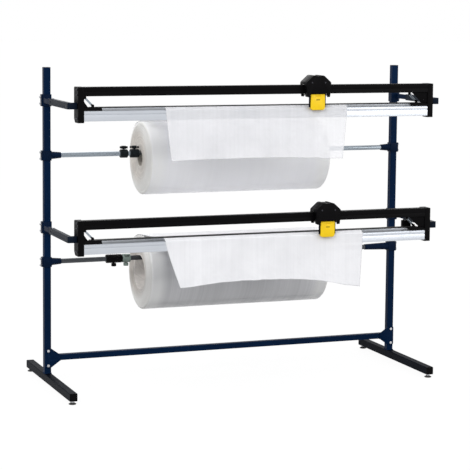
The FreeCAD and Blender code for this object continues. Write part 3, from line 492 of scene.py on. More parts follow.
def make_finishes(colours):
    GROUPS.update(shader_groups())
    film_colour = lighter(colours.film_white, 1.04)
    FINISH.update(
        post_paint=coated("Blue Powder Coat", colours.post_paint, 0.38, 0.35, dust=0.01, specular=0.04),
        foot_paint=coated("Dark Foot Coat", colours.foot_paint, 0.40, 0.15, scuff=0.2, dust=0.005,
                          specular=0.02),
        clamp_paint=coated("Blue Clamp Coat", lighter(colours.post_paint, 0.7), 0.36, 0.05, dust=0.015,
                           specular=0.06),
        arm_paint=coated("Grey Arm Coat", colours.arm_paint, 0.36, 0.10, dust=0.01, specular=0.04),
        black_anodised=coated("Black Anodised", colours.black_coat, 0.40, 0.20, 0.0005, 0.00002,
                              scuff=0.12, dust=0.02, specular=0.05),
        bare_aluminium=drawn_metal("Drawn Aluminium", (0.62, 0.65, 0.70), 0.30, (3.0, 1100.0, 1100.0)),
        bright_steel=drawn_metal("Bright Steel", (0.33, 0.375, 0.42), 0.16, (900.0, 12.0, 12.0), 0.5),
        # the lower axle's dark steel is painted shade for the bar's shadow over it
        dull_steel=drawn_metal("Rod Steel With Painted Shade", (0.075, 0.080, 0.088), 0.28, (700.0, 12.0, 12.0), 0.5),
        zinc_screw=drawn_metal("Zinc Fasteners", (0.62, 0.63, 0.66), 0.26, (700.0, 700.0, 90.0), 0.5),
        dark_steel=drawn_metal("Blackened Steel", (0.06, 0.06, 0.07), 0.34, (500.0, 500.0, 90.0), 0.5),
        black_plastic=coated("Black Moulding", (0.0028, 0.0025, 0.003), 0.40, 0.06, 0.0007, 0.00005,
                             scuff=0.12, dust=0.015, specular=0.05),
        yellow_plastic=coated("Yellow Moulding", colours.holder_yellow, 0.32, 0.03, 0.0008, 0.00003,
                              scuff=0.12, dust=0.03, contrast=0.12, specular=0.3),
        glide_plastic=coated("White Glides", (0.72, 0.72, 0.68), 0.4, 0.02, 0.0006, scuff=0.2, contrast=0.3),
        blade_steel=drawn_metal("Ground Blade", (0.70, 0.72, 0.76), 0.12, (30.0, 30.0, 1500.0), 0.4),
        core_board=card_material("Wound Cardboard", (0.60, 0.56, 0.50)),
        # the lower core's paler cardboard is painted light that lifts the shade inside its bore
        core_board_wide=card_material("Wound Cardboard With Painted Light", (0.90, 0.86, 0.82)),
        grey_collar=coated("Grey Collar Coat", (0.010, 0.014, 0.017), 0.36, 0.02, 0.0006, scuff=0.3,
                           dust=0.05, specular=0.1),
        green_collar=coated("Grey-Green Collar", (0.23, 0.29, 0.26), 0.42, 0.02, 0.0006, scuff=0.4),
        pad_rubber=coated("Pad Rubber", (0.016, 0.016, 0.017), 0.62, 0.02, 0.0012, 0.0002, scuff=0.5,
                          dust=0.35, specular=0.3),
        film_upper=film_material("Milky Film Upper", film_colour, 0.46, 0.60),
        film_lower=film_material("Milky Film Lower", film_colour, 0.78, 0.90))
    # the lower roll's side and end are darker, streakier copies: painted shade for the bar's shadow and weak
    # light from below; the upper roll's paler side is painted light
    for tier, shade, contrast, painted_end_light in (("upper", 1.06, 0.25, 2.0), ("lower", 0.86, 1.0, 1.5)):
        roll = roll_measures(tier)
        FINISH["roll_side_" + tier] = roll_side_material(
            "Wound Film Side " + tier, lighter(colours.film_white, shade), contrast,
            (roll["left"], roll["right"]))
        FINISH["roll_end_" + tier] = roll_end_material(
            "Wound Film End " + tier, lighter(colours.roll_end, painted_end_light), roll["centre"], roll["radius"], 0.9)


def dress(target, finish):
    target.data.materials.clear()
    target.data.materials.append(FINISH[finish])


# ---------------------------------------------------------------- mesh helpers

def piece_from(name, verts, faces, finish, body):
    mesh = bpy.data.meshes.new(name)
    mesh.from_pydata([tuple(v) for v in verts], [], faces)
    mesh.update()
    return finish_piece(name, mesh, finish, body)


def finish_piece(name, mesh, finish, body, smooth=True, angle=32.0):
    made = bpy.data.objects.new(name, mesh)
    bpy.context.scene.collection.objects.link(made)
    if finish:
        mesh.materials.clear()
        mesh.materials.append(FINISH[finish])
    for face in mesh.polygons:
        face.use_smooth = smooth
    if smooth:
        mesh.set_sharp_from_angle(angle=math.radians(angle))
    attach(made, body)
    return made


# edges sharper than this, in degrees, are rounded, and stay creased in the shading
SHARP_ANGLE = 28.0


def face_outwards(made):
    shape = bmesh.new()
    shape.from_mesh(made.data)
    bmesh.ops.recalc_face_normals(shape, faces=shape.faces)
    shape.to_mesh(made.data)
    shape.free()


def join_rings(faces, first, second):
    """Quads between two closed rings of as many points."""
    for i in range(len(first)):
        j = (i + 1) % len(first)
        faces.append((first[i], first[j], second[j], second[i]))


def close_ring(verts, faces, ring, pole):
    """A fan from a ring to a pole on its axis."""
    verts.append(pole)
    for i in range(len(ring)):
        faces.append((ring[i], ring[(i + 1) % len(ring)], len(verts) - 1))


def evaluated_mesh(holder, name):
    """The holder's mesh with its modifiers worked in; the holder itself is removed."""
    bpy.context.view_layer.update()
    graph = bpy.context.evaluated_depsgraph_get()
    mesh = bpy.data.meshes.new_from_object(holder.evaluated_get(graph), depsgraph=graph)
    mesh.name = name
    old = holder.data
    bpy.data.objects.remove(holder)
    if old.users == 0:
        bpy.data.meshes.remove(old)
    return mesh


def soften_node(node, finish, width):
    """A merged copy of a rigid node with its sharp edges rounded, shown in the node's place."""
    source = frame["nodes"][node]
    mesh = source.data.copy()
    shape = bmesh.new()
    shape.from_mesh(mesh)
    bmesh.ops.remove_doubles(shape, verts=shape.verts, dist=0.00002)
    bmesh.ops.dissolve_limit(shape, angle_limit=math.radians(1.0), verts=shape.verts, edges=shape.edges)
    shape.to_mesh(mesh)
    shape.free()
    holder = bpy.data.objects.new(node + "_holder", mesh)
    bpy.context.scene.collection.objects.link(holder)
    bevel = holder.modifiers.new("Round edges", "BEVEL")
    bevel.width = width
    bevel.segments = 2
    bevel.limit_method = "ANGLE"
    bevel.angle_limit = math.radians(SHARP_ANGLE)
    bevel.use_clamp_overlap = True
    bevel.miter_outer = "MITER_ARC"
    made = finish_piece(node + "_soft", evaluated_mesh(holder, node + "_soft"), finish,
                        source["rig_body"], True, SHARP_ANGLE)
    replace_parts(made, node)


# ---------------------------------------------------------------- geometry trees

def point_tree(name, inputs):
    """A tree that grows something on the points it is given, in a given material."""
    return new_group(name, "GeometryNodeTree",
                     [("Geometry", SHAPE, None)] + inputs + [("Material", MATERIAL, None)],
                     [("Geometry", SHAPE)])


def place_on(tree, points, instance, given, out, more=None):
    """Ends a tree: an instance on each point, made real because the export drops instances."""
    placed = add(tree, "GeometryNodeInstanceOnPoints", None,
                 {"Points": points, "Instance": instance, **(more or {})})
    real = add(tree, "GeometryNodeRealizeInstances", None, {0: placed.outputs[0]})
    done = add(tree, "GeometryNodeSetMaterial", None,
               {"Geometry": real.outputs[0], "Material": given["Material"]})
    tree.links.new(done.outputs[0], out[0])
    return tree


def facing_turn(tree, axis):
    """A rotation that points an axis along each point's facing attribute."""
    facing = add(tree, "GeometryNodeInputNamedAttribute", {"data_type": "FLOAT_VECTOR"}, {"Name": "facing"})
    turn = add(tree, "FunctionNodeAlignRotationToVector", {"axis": axis}, {"Vector": facing.outputs[0]})
    return {"Rotation": turn.outputs[0]}


def make_fastener_tree():
    """Heads set on points: each point's facing attribute gives the way its head looks."""
    tree, given, out = point_tree("Fastener Heads", [
        ("Sides", WHOLE, 24), ("Radius", FLOAT, 0.005), ("Height", FLOAT, 0.004), ("Crown", FLOAT, 0.82),
        ("Socket", FLOAT, 0.5), ("Socket Depth", FLOAT, 0.002), ("Washer", FLOAT, 1.5)])
    shape = add(tree, "GeometryNodeMeshCircle", {"fill_type": "NGON"},
                {"Vertices": given["Sides"], "Radius": given["Radius"]}).outputs[0]
    up = add(tree, "ShaderNodeCombineXYZ", None, {2: 1.0}).outputs[0]
    picked = None
    # the rise of each step of the head, and the size that its top is then given
    steps = ((maths(tree, "MULTIPLY", given["Height"], 0.75), None),
             (maths(tree, "MULTIPLY", given["Height"], 0.25), given["Crown"]),
             (0.0, given["Socket"]),
             (maths(tree, "MULTIPLY", given["Socket Depth"], -1.0), None),
             (0.0, 0.15))
    for rise, size in steps:
        values = {"Mesh": shape, "Offset": up, "Offset Scale": rise}
        if picked is not None:
            values["Selection"] = picked
        grown = add(tree, "GeometryNodeExtrudeMesh", {"mode": "FACES"}, values)
        shape, picked = grown.outputs["Mesh"], grown.outputs["Top"]
        if size is not None:
            shape = add(tree, "GeometryNodeScaleElements", {"domain": "FACE"},
                        {"Geometry": shape, "Selection": picked, "Scale": size}).outputs[0]
    ring = add(tree, "GeometryNodeMeshCylinder", None, {
        "Vertices": 32, "Radius": maths(tree, "MULTIPLY", given["Radius"], given["Washer"]),
        "Depth": maths(tree, "MULTIPLY", given["Height"], 0.24)}).outputs[0]
    both = tree.nodes.new("GeometryNodeJoinGeometry")
    tree.links.new(shape, both.inputs[0])
    tree.links.new(ring, both.inputs[0])
    return place_on(tree, given["Geometry"], both.outputs[0], given, out, facing_turn(tree, "Z"))


def make_thread_tree():
    """A helical thread along +Z from each point."""
    tree, given, out = point_tree("Screw Thread", [
        ("Radius", FLOAT, 0.005), ("Height", FLOAT, 0.02), ("Pitch", FLOAT, 0.0015)])
    turns = maths(tree, "DIVIDE", given["Height"], given["Pitch"])
    coil = add(tree, "GeometryNodeCurveSpiral", None, {
        "Resolution": 20, "Rotations": turns, "Start Radius": given["Radius"], "End Radius": given["Radius"],
        "Height": given["Height"]})
    ridge = add(tree, "GeometryNodeCurvePrimitiveCircle", None,
                {"Resolution": 5, "Radius": maths(tree, "MULTIPLY", given["Pitch"], 0.33)})
    tube = add(tree, "GeometryNodeCurveToMesh", None,
               {"Curve": coil.outputs[0], "Profile Curve": ridge.outputs[0], "Fill Caps": True})
    return place_on(tree, given["Geometry"], tube.outputs[0], given, out)


def make_bead_tree():
    """Overlapping weld ripples along the given edges."""
    tree, given, out = point_tree("Weld Bead", [
        ("Spacing", FLOAT, 0.003), ("Size", FLOAT, 0.0025), ("Seed", WHOLE, 7)])
    path = add(tree, "GeometryNodeMeshToCurve", None, {"Mesh": given["Geometry"]})
    even = add(tree, "GeometryNodeResampleCurve", {"mode": "LENGTH"},
               {"Curve": path.outputs[0], "Length": given["Spacing"]})
    ball = add(tree, "GeometryNodeMeshIcoSphere", None, {"Radius": given["Size"], "Subdivisions": 2})
    size = add(tree, "FunctionNodeRandomValue", {"data_type": "FLOAT"},
               {"Min": 0.85, "Max": 1.12, "Seed": given["Seed"]})
    return place_on(tree, even.outputs[0], ball.outputs[0], given, out, {"Scale": size.outputs[1]})


def make_rib_tree():
    """One block on each point, turned so that its depth follows the point's facing attribute."""
    tree, given, out = point_tree("Ribs on Points", [("Size", VECTOR, (0.001, 0.001, 0.01))])
    block = add(tree, "GeometryNodeMeshCube", None, {"Size": given["Size"]})
    return place_on(tree, given["Geometry"], block.outputs[0], given, out, facing_turn(tree, "Y"))


def tree_named(name, maker):
    return bpy.data.node_groups.get(name) or maker()


def grow(name, points, tree, values, body, edges=(), facing=None, smooth=True):
    """Runs a geometry tree on a few points and keeps the result as a plain piece."""
    mesh = bpy.data.meshes.new(name + "_points")
    mesh.from_pydata([tuple(p) for p in points], list(edges), [])
    if facing is not None:
        layer = mesh.attributes.new("facing", "FLOAT_VECTOR", "POINT")
        layer.data.foreach_set("vector", [c for way in facing for c in way])
    holder = bpy.data.objects.new(name + "_holder", mesh)
    bpy.context.scene.collection.objects.link(holder)
    modifier = holder.modifiers.new("Grow", "NODES")
    modifier.node_group = tree
    sockets = {item.name: item.identifier for item in tree.interface.items_tree if item.in_out == "INPUT"}
    for label, value in values.items():
        modifier[sockets[label]] = value
    return finish_piece(name, evaluated_mesh(holder, name), None, body, smooth)


# ---------------------------------------------------------------- film rolls

ROLL_SEEDS = {"upper": 3.0, "lower": 11.0}
ROLL_SEGMENTS, ROLL_ALONG, ROLL_LAYERS = 144, 64, 34
# steps of a rounded rim, and how many of them still show the layers' edges
RIM_STEPS, RIM_END_STEPS = 8, 5
ROLL_GAP = 0.0004
SIDE_RIPPLE = 0.0016


def layer_edge(share, side, seed):
    """How far the edges of the layers lie inside the roll's end, at a share of the way out."""
    broad = noise.noise(Vector((share * 40.0, seed, side * 5.0)))
    fine = noise.noise(Vector((share * 170.0, seed, side * 9.0)))
    return 0.0016 + 0.0013 * broad + 0.0006 * fine


def roll_profile(size, rim, seed):
    """Rings from the bore's left edge over the side to its right edge, as x, radius and ripple."""
    start = size["core"] + ROLL_GAP
    flat = size["radius"] - rim
    inside = rim - 0.0006
    ends = []
    for side, x_end in ((-1.0, size["left"]), (1.0, size["right"])):
        rings = []
        for k in range(ROLL_LAYERS + 1):
            share = k / ROLL_LAYERS
            rings.append((x_end - side * layer_edge(share, side, seed), start + (flat - start) * share, 0.0))
        for k in range(1, RIM_STEPS + 1):
            turn = math.radians(90) * k / RIM_STEPS
            x = x_end - side * (rim - inside * math.cos(turn))
            rings.append((x, flat + inside * math.sin(turn), 0.0))
        ends.append(rings)
    span = size["right"] - size["left"] - 2 * rim
    wall = [(size["left"] + rim + span * k / ROLL_ALONG, size["radius"] - ROLL_GAP, SIDE_RIPPLE)
            for k in range(1, ROLL_ALONG)]
    return ends[0] + wall + ends[1][::-1]


def make_roll(tier, rim):
    """A wound roll: rippled sides, rounded rims, and ends that show the uneven edges of the layers."""
    size = roll_measures(tier)
    centre = size["centre"]
    seed = ROLL_SEEDS[tier]
    verts, faces, rings = [], [], []
    for x, radius, ripple in roll_profile(size, rim, seed):
        rings.append(range(len(verts), len(verts) + ROLL_SEGMENTS))
        for i in range(ROLL_SEGMENTS):
            turn = math.tau * i / ROLL_SEGMENTS
            across, up = math.cos(turn), math.sin(turn)
            # the ripple always lies under the solid's radius
            r = radius - ripple * (0.5 + 0.5 * noise.noise(Vector((x * 5, across * 1.4 + seed, up * 1.4))))
            verts.append((x, centre.y + r * across, centre.z + r * up))
    for first, second in zip(rings, rings[1:]):
        join_rings(faces, first, second)
    # the bore, round the core
    join_rings(faces, rings[-1], rings[0])
    roll = piece_from("film_roll_" + tier + "_wound", verts, faces, None, "roll_" + tier)
    roll.data.materials.append(FINISH["roll_side_" + tier])
    roll.data.materials.append(FINISH["roll_end_" + tier])
    end_rings = ROLL_LAYERS + 1 + RIM_END_STEPS
    last = len(rings) - 1
    for number, face in enumerate(roll.data.polygons):
        strip = number // ROLL_SEGMENTS
        if strip < end_rings - 1 or last - end_rings < strip < last:
            face.material_index = 1
    roll.data.set_sharp_from_angle(angle=math.radians(50))
    face_outwards(roll)
    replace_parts(roll, "film_roll_" + tier)


def make_roll_tail(tier, rim):
    """A few loose layer edges and wrapping turns that stand a little proud at the ends of the roll."""
    size = roll_measures(tier)
    centre = size["centre"]
    verts, faces = [], []
    steps, root, thick = 120, 0.003, 0.0007
    for side, x_end in ((-1.0, size["left"]), (1.0, size["right"])):
        for k, share in enumerate((0.18, 0.33, 0.47, 0.62, 0.74, 0.85, 0.93)):
            radius = size["core"] + (size["radius"] - rim - size["core"]) * share
            base = len(verts)
            for i in range(steps):
                turn = math.tau * i / steps
                across, up = math.cos(turn), math.sin(turn)
                lift = 0.0009 + 0.0008 * noise.noise(Vector((across * 2 + k, up * 2, side)))
                inner, outer = x_end - side * root, x_end - side * (0.0012 - lift)
                for r, x in ((radius, inner), (radius, outer),
                             (radius + thick, outer), (radius + thick, inner)):
                    verts.append((x, centre.y + r * across, centre.z + r * up))
            corners = [list(range(base + 4 * i, base + 4 * i + 4)) for i in range(steps)]
            for first, second in zip(corners, corners[1:] + corners[:1]):
                join_rings(faces, first, second)
    tail = piece_from("layer_edges_" + tier, verts, faces, "roll_end_" + tier, "roll_" + tier)
    face_outwards(tail)


# ---------------------------------------------------------------- hanging film

FILM_LEFT = -0.508
FILM_COLUMNS, FILM_ROWS = 170, 64
FILM_CLEARANCE = 0.00035
FILM_SEEDS = {"upper": 2.0, "lower": 8.0}
# degrees of the roll that the film covers before it leaves it, and the points there and on to the bar
WRAP_ANGLE, WRAP_POINTS, SPAN_POINTS = 34, 16, 41
# where each film ends on the right, how far its lower corners run in as shares of its width,
# and how far its hem hangs under the rail's top, from left to right
FILM = {
    "upper": {"right": 0.466, "draw_left": 0.030, "draw_right": 0.022, "finish": "film_upper",
              "hem": (0.368, 0.364, 0.363, 0.367, 0.377)},
    "lower": {"right": 0.566, "draw_left": 0.073, "draw_right": 0.012, "finish": "film_lower",
              "hem": (0.354, 0.336, 0.334, 0.350, 0.394)},
}


def smooth_between(values, share):
    """A smooth curve through evenly spaced values."""
    spot = share * (len(values) - 1)
    k = min(int(spot), len(values) - 2)
    t = spot - k
    p0 = values[max(k - 1, 0)]
    p1, p2 = values[k], values[k + 1]
    p3 = values[min(k + 2, len(values) - 1)]
    return 0.5 * (2 * p1 + (p2 - p0) * t + (2 * p0 - 5 * p1 + 4 * p2 - p3) * t * t
                  + (3 * p1 - p0 - 3 * p2 + p3) * t * t * t)


def film_route(tier, gap):
    """Side view of the film down to the bar's lip: over the roll, up to the bar, across it and its slope."""
    unit = unit_levels(tier)
    size = roll_measures(tier)
    centre = Vector((size["centre"].y, size["centre"].z))
    radius = size["radius"] + gap
    rear = Vector((unit["bar_back"], unit["bar_top"] + gap))
    slope = Vector((unit["front"] + 0.020, unit["bar_top"] + gap))
    lip = Vector((unit["front"] - gap, unit["lip"] + gap))
    away = rear - centre
    turn = math.atan2(away.y, away.x) - math.acos(radius / away.length)
    route = []
    for k in range(WRAP_POINTS):
        t = turn - math.radians(WRAP_ANGLE) * (1 - k / WRAP_POINTS)
        route.append(("roll", centre + Vector((math.cos(t), math.sin(t))) * radius))
    touch = centre + Vector((math.cos(turn), math.sin(turn))) * radius
    for k in range(SPAN_POINTS):
        route.append(("span", touch.lerp(rear, k / SPAN_POINTS)))
    # each corner with its neighbours, how far it is cut back, and its extra points after it
    corners = [(touch, rear, slope, 0.005, 1), (rear, slope, lip, 0.003, 4),
               (slope, lip, lip - Vector((0, 0.1)), 0.002, 6)]
    for k, (before, corner, after, cut, fill) in enumerate(corners):
        a = corner + (before - corner).normalized() * cut
        b = corner + (after - corner).normalized() * cut
        for i in range(5):
            t = i / 4
            route.append(("bar", a.lerp(corner, t).lerp(corner.lerp(b, t), t)))
        if k < 2:
            end = corners[k + 1][1] + (corner - corners[k + 1][1]).normalized() * corners[k + 1][3]
            for i in range(1, fill + 4):
                route.append(("bar", b.lerp(end, i / (fill + 4))))
    return route


def lay_film(route, wound, right, sizes, seed):
    """Points of the film from the roll to the bar's lip, with how solid the film is at each."""
    span = [i for i, (kind, p) in enumerate(route) if kind == "span"]
    wound_left, wound_right = wound["left"] + 0.002, wound["right"] - 0.002
    points, fades = [], []
    for i, (kind, p) in enumerate(route):
        s = min(1.0, max(0.0, (i - span[0]) / (span[-1] - span[0])))
        drift = s * s * (3 - 2 * s)
        for c in range(FILM_COLUMNS + 1):
            u = c / FILM_COLUMNS
            x = (wound_left + (wound_right - wound_left) * u) * (1 - drift)
            x += (FILM_LEFT + (right - FILM_LEFT) * u) * drift
            z = p.y
            if kind == "span":
                belly = math.sin(math.pi * s)
                ripple = noise.noise(Vector((x * 9 + seed, s * 1.2, 0.0)))
                z -= belly * (sizes.film_sag * (0.7 + 0.3 * ripple))
                x += belly * 0.002 * noise.noise(Vector((u * 3, s * 4, seed)))
            points.append((x, p.x, z))
            fades.append(min(1.0, i / 12.0))
    return points, fades


def hang_film(unit, facts, gap, wave, seed):
    """Points of the film below the bar's lip: close to the bar, then in soft folds down to the hem."""
    width = facts["right"] - FILM_LEFT
    low_left = FILM_LEFT + facts["draw_left"] * width
    low_right = facts["right"] - facts["draw_right"] * width
    top = unit["lip"] - 0.002
    # from this level down the film leaves the bar
    free = unit["bar_bottom"] + 0.012
    points = []
    for row in range(1, FILM_ROWS + 1):
        v = row / FILM_ROWS
        for c in range(FILM_COLUMNS + 1):
            u = c / FILM_COLUMNS
            hem = unit["rail_top"] - smooth_between(facts["hem"], u)
            hem += 0.0016 * noise.noise(Vector((u * 16, seed, 1.0)))
            hem += 0.0008 * noise.noise(Vector((u * 60, seed, 4.0)))
            # the sides run in gently below the lip
            x_top = FILM_LEFT + width * u
            x = x_top + (low_left + (low_right - low_left) * u - x_top) * v ** 1.15
            z = top + (hem - top) * v
            below = max(0.0, (free - z) / (free - hem))
            drift = 1.6 * noise.noise(Vector((x * 4, v * 1.1, seed)))
            wide = 0.5 + 0.5 * math.sin(x * 17.0 + seed + drift)
            small = 0.5 + 0.5 * noise.noise(Vector((x * 24, v * 2.0, seed + 3)))
            swing = below ** 1.4 * wave * (0.65 * wide + 0.35 * small)
            crinkle = below ** 0.5 * 0.0007 * noise.noise(Vector((x * 60, v * 9, seed)))
            curl = 0.0035 * max(0.0, (v - 0.93) / 0.07) ** 2 * noise.noise(Vector((x * 7, seed, 9.0)))
            points.append((x, unit["front"] - gap - swing - abs(crinkle) + min(0.0, curl), z))
    return points


def make_film(tier, sizes):
    unit = unit_levels(tier)
    facts = FILM[tier]
    gap = FILM_CLEARANCE + sizes.film_thickness / 2
    route = film_route(tier, gap)
    seed = FILM_SEEDS[tier]
    verts, fades = lay_film(route, roll_measures(tier), facts["right"], sizes, seed)
    hanging = hang_film(unit, facts, gap, sizes.film_wave, seed)
    verts += hanging
    fades += [1.0] * len(hanging)
    line = FILM_COLUMNS + 1
    faces = [(a, a + 1, a + line + 1, a + line)
             for r in range(len(route) + FILM_ROWS - 1) for a in range(r * line, r * line + FILM_COLUMNS)]
    film = piece_from("film_sheet_" + tier, verts, faces, facts["finish"], "stand")
    film.data.attributes.new("film_fade", "FLOAT", "POINT").data.foreach_set("value", fades)
    solid = film.modifiers.new("Film thickness", "SOLIDIFY")
    solid.thickness = sizes.film_thickness
    solid.offset = 0.0
    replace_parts(film, "film_web_" + tier)


# ---------------------------------------------------------------- fasteners and small fittings

# sides, radius, height, crown and socket as shares of it, socket depth, washer as a share, finish
FASTENERS = {
    "unit_screw": (28, 0.005, 0.0048, 0.86, 0.52, 0.0026, 1.25, "dark_steel"),
    "clamp_bolt": (24, 0.0042, 0.0009, 0.80, 0.55, 0.0006, 0.9, "zinc_screw"),
    "frame_bolt": (24, 0.0055, 0.0009, 0.80, 0.3, 0.0002, 0.9, "zinc_screw"),
    "hood_screw": (24, 0.0034, 0.0012, 0.9, 0.5, 0.0010, 1.2, "dark_steel"),
}


def set_heads(name, kind, spots, body="stand"):
    """Fastener heads on spots: each is a point and the way that its head looks."""
    points, ways = zip(*spots)
    labels = ("Sides", "Radius", "Height", "Crown", "Socket", "Socket Depth", "Washer")
    values = dict(zip(labels, FASTENERS[kind]), Material=FINISH[FASTENERS[kind][-1]])
    return grow(name, points, tree_named("Fastener Heads", make_fastener_tree), values,
                body, facing=ways)


def set_ribs(name, spots, size, body):
    points, ways = zip(*spots)
    grow(name, points, tree_named("Ribs on Points", make_rib_tree),
         {"Size": size, "Material": FINISH["black_plastic"]}, body,
         facing=ways, smooth=False)


def loose_parts(node):
    """The middle, lowest and highest corner of each separate solid in a node."""
    shape = bmesh.new()
    shape.from_mesh(frame["nodes"][node].data)
    bmesh.ops.remove_doubles(shape, verts=shape.verts, dist=0.00002)
    shape.verts.ensure_lookup_table()
    seen = set()
    parts = []
    for vert in shape.verts:
        if vert.index in seen:
            continue
        stack, group = [vert], []
        seen.add(vert.index)
        while stack:
            current = stack.pop()
            group.append(current.co.copy())
            for edge in current.link_edges:
                other = edge.other_vert(current)
                if other.index not in seen:
                    seen.add(other.index)
                    stack.append(other)
        low = Vector((min(p.x for p in group), min(p.y for p in group), min(p.z for p in group)))
        high = Vector((max(p.x for p in group), max(p.y for p in group), max(p.z for p in group)))
        parts.append(((low + high) / 2, low, high))
    shape.free()
    return parts


def make_unit_screws():
    spots = []
    for middle, low, high in loose_parts("unit_screws"):
        side = 1.0 if middle.x > 0 else -1.0
        spots.append(((low.x if side > 0 else high.x, middle.y, middle.z), (side, 0, 0)))
    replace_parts(set_heads("unit_screws_fine", "unit_screw", spots), "unit_screws")


# how deep the faces lie in the bolts of the solids, and the domed ones under the ends of their bolts
FACE_SINK, DOME_SINK = 0.0002, 0.0042


def make_clamp_nuts():
    """Washers and domed faces on the hexagon bolts of the clamps and gusset plates."""
    spots = []
    for middle, low, high in loose_parts("clamp_bolts"):
        if high.x - low.x > high.z - low.z:
            side = 1.0 if middle.x > 0 else -1.0
            x = high.x - FACE_SINK if side > 0 else low.x + FACE_SINK
            spots.append(((x, middle.y, middle.z), (side, 0, 0)))
        elif abs(high.x - low.x - (high.y - low.y)) < 0.001:
            spots.append(((middle.x, middle.y, high.z - FACE_SINK), (0, 0, 1)))
    set_heads("clamp_bolt_faces", "clamp_bolt", spots)
    spots = []
    for middle, low, high in loose_parts("frame_bolts"):
        if high.y - low.y > 0.03:
            spots += [((middle.x, low.y + FACE_SINK, middle.z), (0, -1, 0)),
                      ((middle.x, high.y - DOME_SINK, middle.z), (0, 1, 0))]
    set_heads("frame_bolt_faces", "frame_bolt", spots)


# share of the pad's reach and height over its underside
PAD_PROFILE = ((0.84, 0.0), (0.92, 0.0006), (0.985, 0.0018), (0.985, 0.0034), (0.94, 0.0044),
               (0.70, 0.0062), (0.62, 0.0078), (0.58, 0.0088))
PAD_CROWN, PAD_RIB = 0.0090, 0.006
STEM_RADIUS, STEM_TIP, STEM_FOOT = 0.0046, 0.0038, 0.0085
THREAD_RADIUS = 0.00475


def make_threads(sizes):
    tree = tree_named("Screw Thread", make_thread_tree)
    for side in ("left", "right"):
        for place in ("front", "rear"):
            node = "levelling_foot_" + place + "_" + side
            low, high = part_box(node)
            middle = (low + high) / 2
            grow("stem_thread_" + place + "_" + side, [(middle.x, middle.y, low.z + STEM_FOOT)], tree,
                 {"Radius": THREAD_RADIUS, "Height": high.z - low.z - STEM_FOOT - 0.001,
                  "Pitch": sizes.thread_pitch, "Material": FINISH["zinc_screw"]}, node)


def turned_rings(x, y, level, profile, segments, rib=0.0):
    """A skin turned round an upright axis; between 1 and 4 mm up, pairs of its points stand out."""
    verts, faces, rings = [], [], []
    for radius, z in profile:
        rings.append(list(range(len(verts), len(verts) + segments)))
        for i in range(segments):
            turn = math.tau * i / segments
            r = radius * (1.0 + (rib if i % 4 < 2 and 0.001 < z < 0.004 else 0.0))
            verts.append((x + r * math.cos(turn), y + r * math.sin(turn), level + z))
    for first, second in zip(rings, rings[1:]):
        join_rings(faces, first, second)
    return verts, faces, rings


def make_pad(node):
    """A ribbed rubber pad and its smooth steel stem."""
    low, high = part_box(node)
    x, y = (low.x + high.x) / 2, (low.y + high.y) / 2
    reach, top = (high.x - low.x) / 2, high.z - low.z
    outline = [(reach * share, z) for share, z in PAD_PROFILE]
    verts, faces, rings = turned_rings(x, y, low.z, outline, 64, PAD_RIB)
    close_ring(verts, faces, rings[0][::-1], (x, y, low.z))
    close_ring(verts, faces, rings[-1], (x, y, low.z + PAD_CROWN))
    pad = piece_from(node + "_pad", verts, faces, "pad_rubber", node)
    outline = [(STEM_RADIUS, STEM_FOOT), (STEM_RADIUS, top - 0.001), (STEM_TIP, top)]
    verts, faces, rings = turned_rings(x, y, low.z, outline, 32)
    faces += [tuple(rings[0][::-1]), tuple(rings[-1])]
    piece_from(node + "_stem", verts, faces, "zinc_screw", node)
    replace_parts(pad, node)


def make_thumb_ribs(sizes):
    for node in sorted(frame["nodes"]):
        if not node.startswith("collar_"):
            continue
        parts = sorted(loose_parts(node), key=lambda part: part[2].x - part[1].x)
        middle, low, high = parts[0]
        up = high.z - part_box("axle_upper" if "upper" in node else "axle_lower")[1].z > 0
        radius = (high.x - low.x) / 2
        level = high.z - 0.008 if up else low.z + 0.008
        spots = []
        for i in range(sizes.thumb_ribs):
            turn = math.tau * i / sizes.thumb_ribs
            way = Vector((math.cos(turn), math.sin(turn), 0))
            spots.append(((middle.x + way.x * radius, middle.y + way.y * radius, level), tuple(way)))
        set_ribs("thumb_ribs_" + node.removeprefix("collar_"), spots, (0.0017, 0.0014, 0.0104), node)


# how far the plates reach along the crossbar, and with them its welds
PLATE_REACH = 0.0825


def make_welds(sizes):
    tree = tree_named("Weld Bead", make_bead_tree)
    lines, edges = [], []
    for side in ("left", "right"):
        low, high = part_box("post_" + side)
        base = len(lines)
        lines += [(x, y, low.z + 0.0008) for x, y in (
            (low.x - 0.0004, low.y - 0.0004), (high.x + 0.0004, low.y - 0.0004),
            (high.x + 0.0004, high.y + 0.0004), (low.x - 0.0004, high.y + 0.0004))]
        edges += [(base + i, base + (i + 1) % 4) for i in range(4)]
    bar_low, bar_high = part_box("crossbar")
    plate_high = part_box("gusset_plates")[1]
    for sign in (-1.0, 1.0):
        x = sign * (plate_high.x - PLATE_REACH)
        for z in (bar_low.z - 0.0003, bar_high.z + 0.0003):
            base = len(lines)
            lines += [(x, bar_low.y - 0.0003, z), (sign * bar_high.x, bar_low.y - 0.0003, z)]
            edges.append((base, base + 1))
    grow("weld_beads", lines, tree,
         {"Spacing": sizes.bead_spacing, "Size": 0.0024, "Seed": 7, "Material": FINISH["post_paint"]},
         "stand", edges=edges)


# how far aside a hood's ribs and screws lie, the step between ribs, and the height above the holder's foot of
# the black block painted as the shade of its slot
RIB_ASIDE, SCREW_ASIDE, RIB_STEP, SLOT_HEIGHT = 0.056, 0.036, 0.0065, 0.052


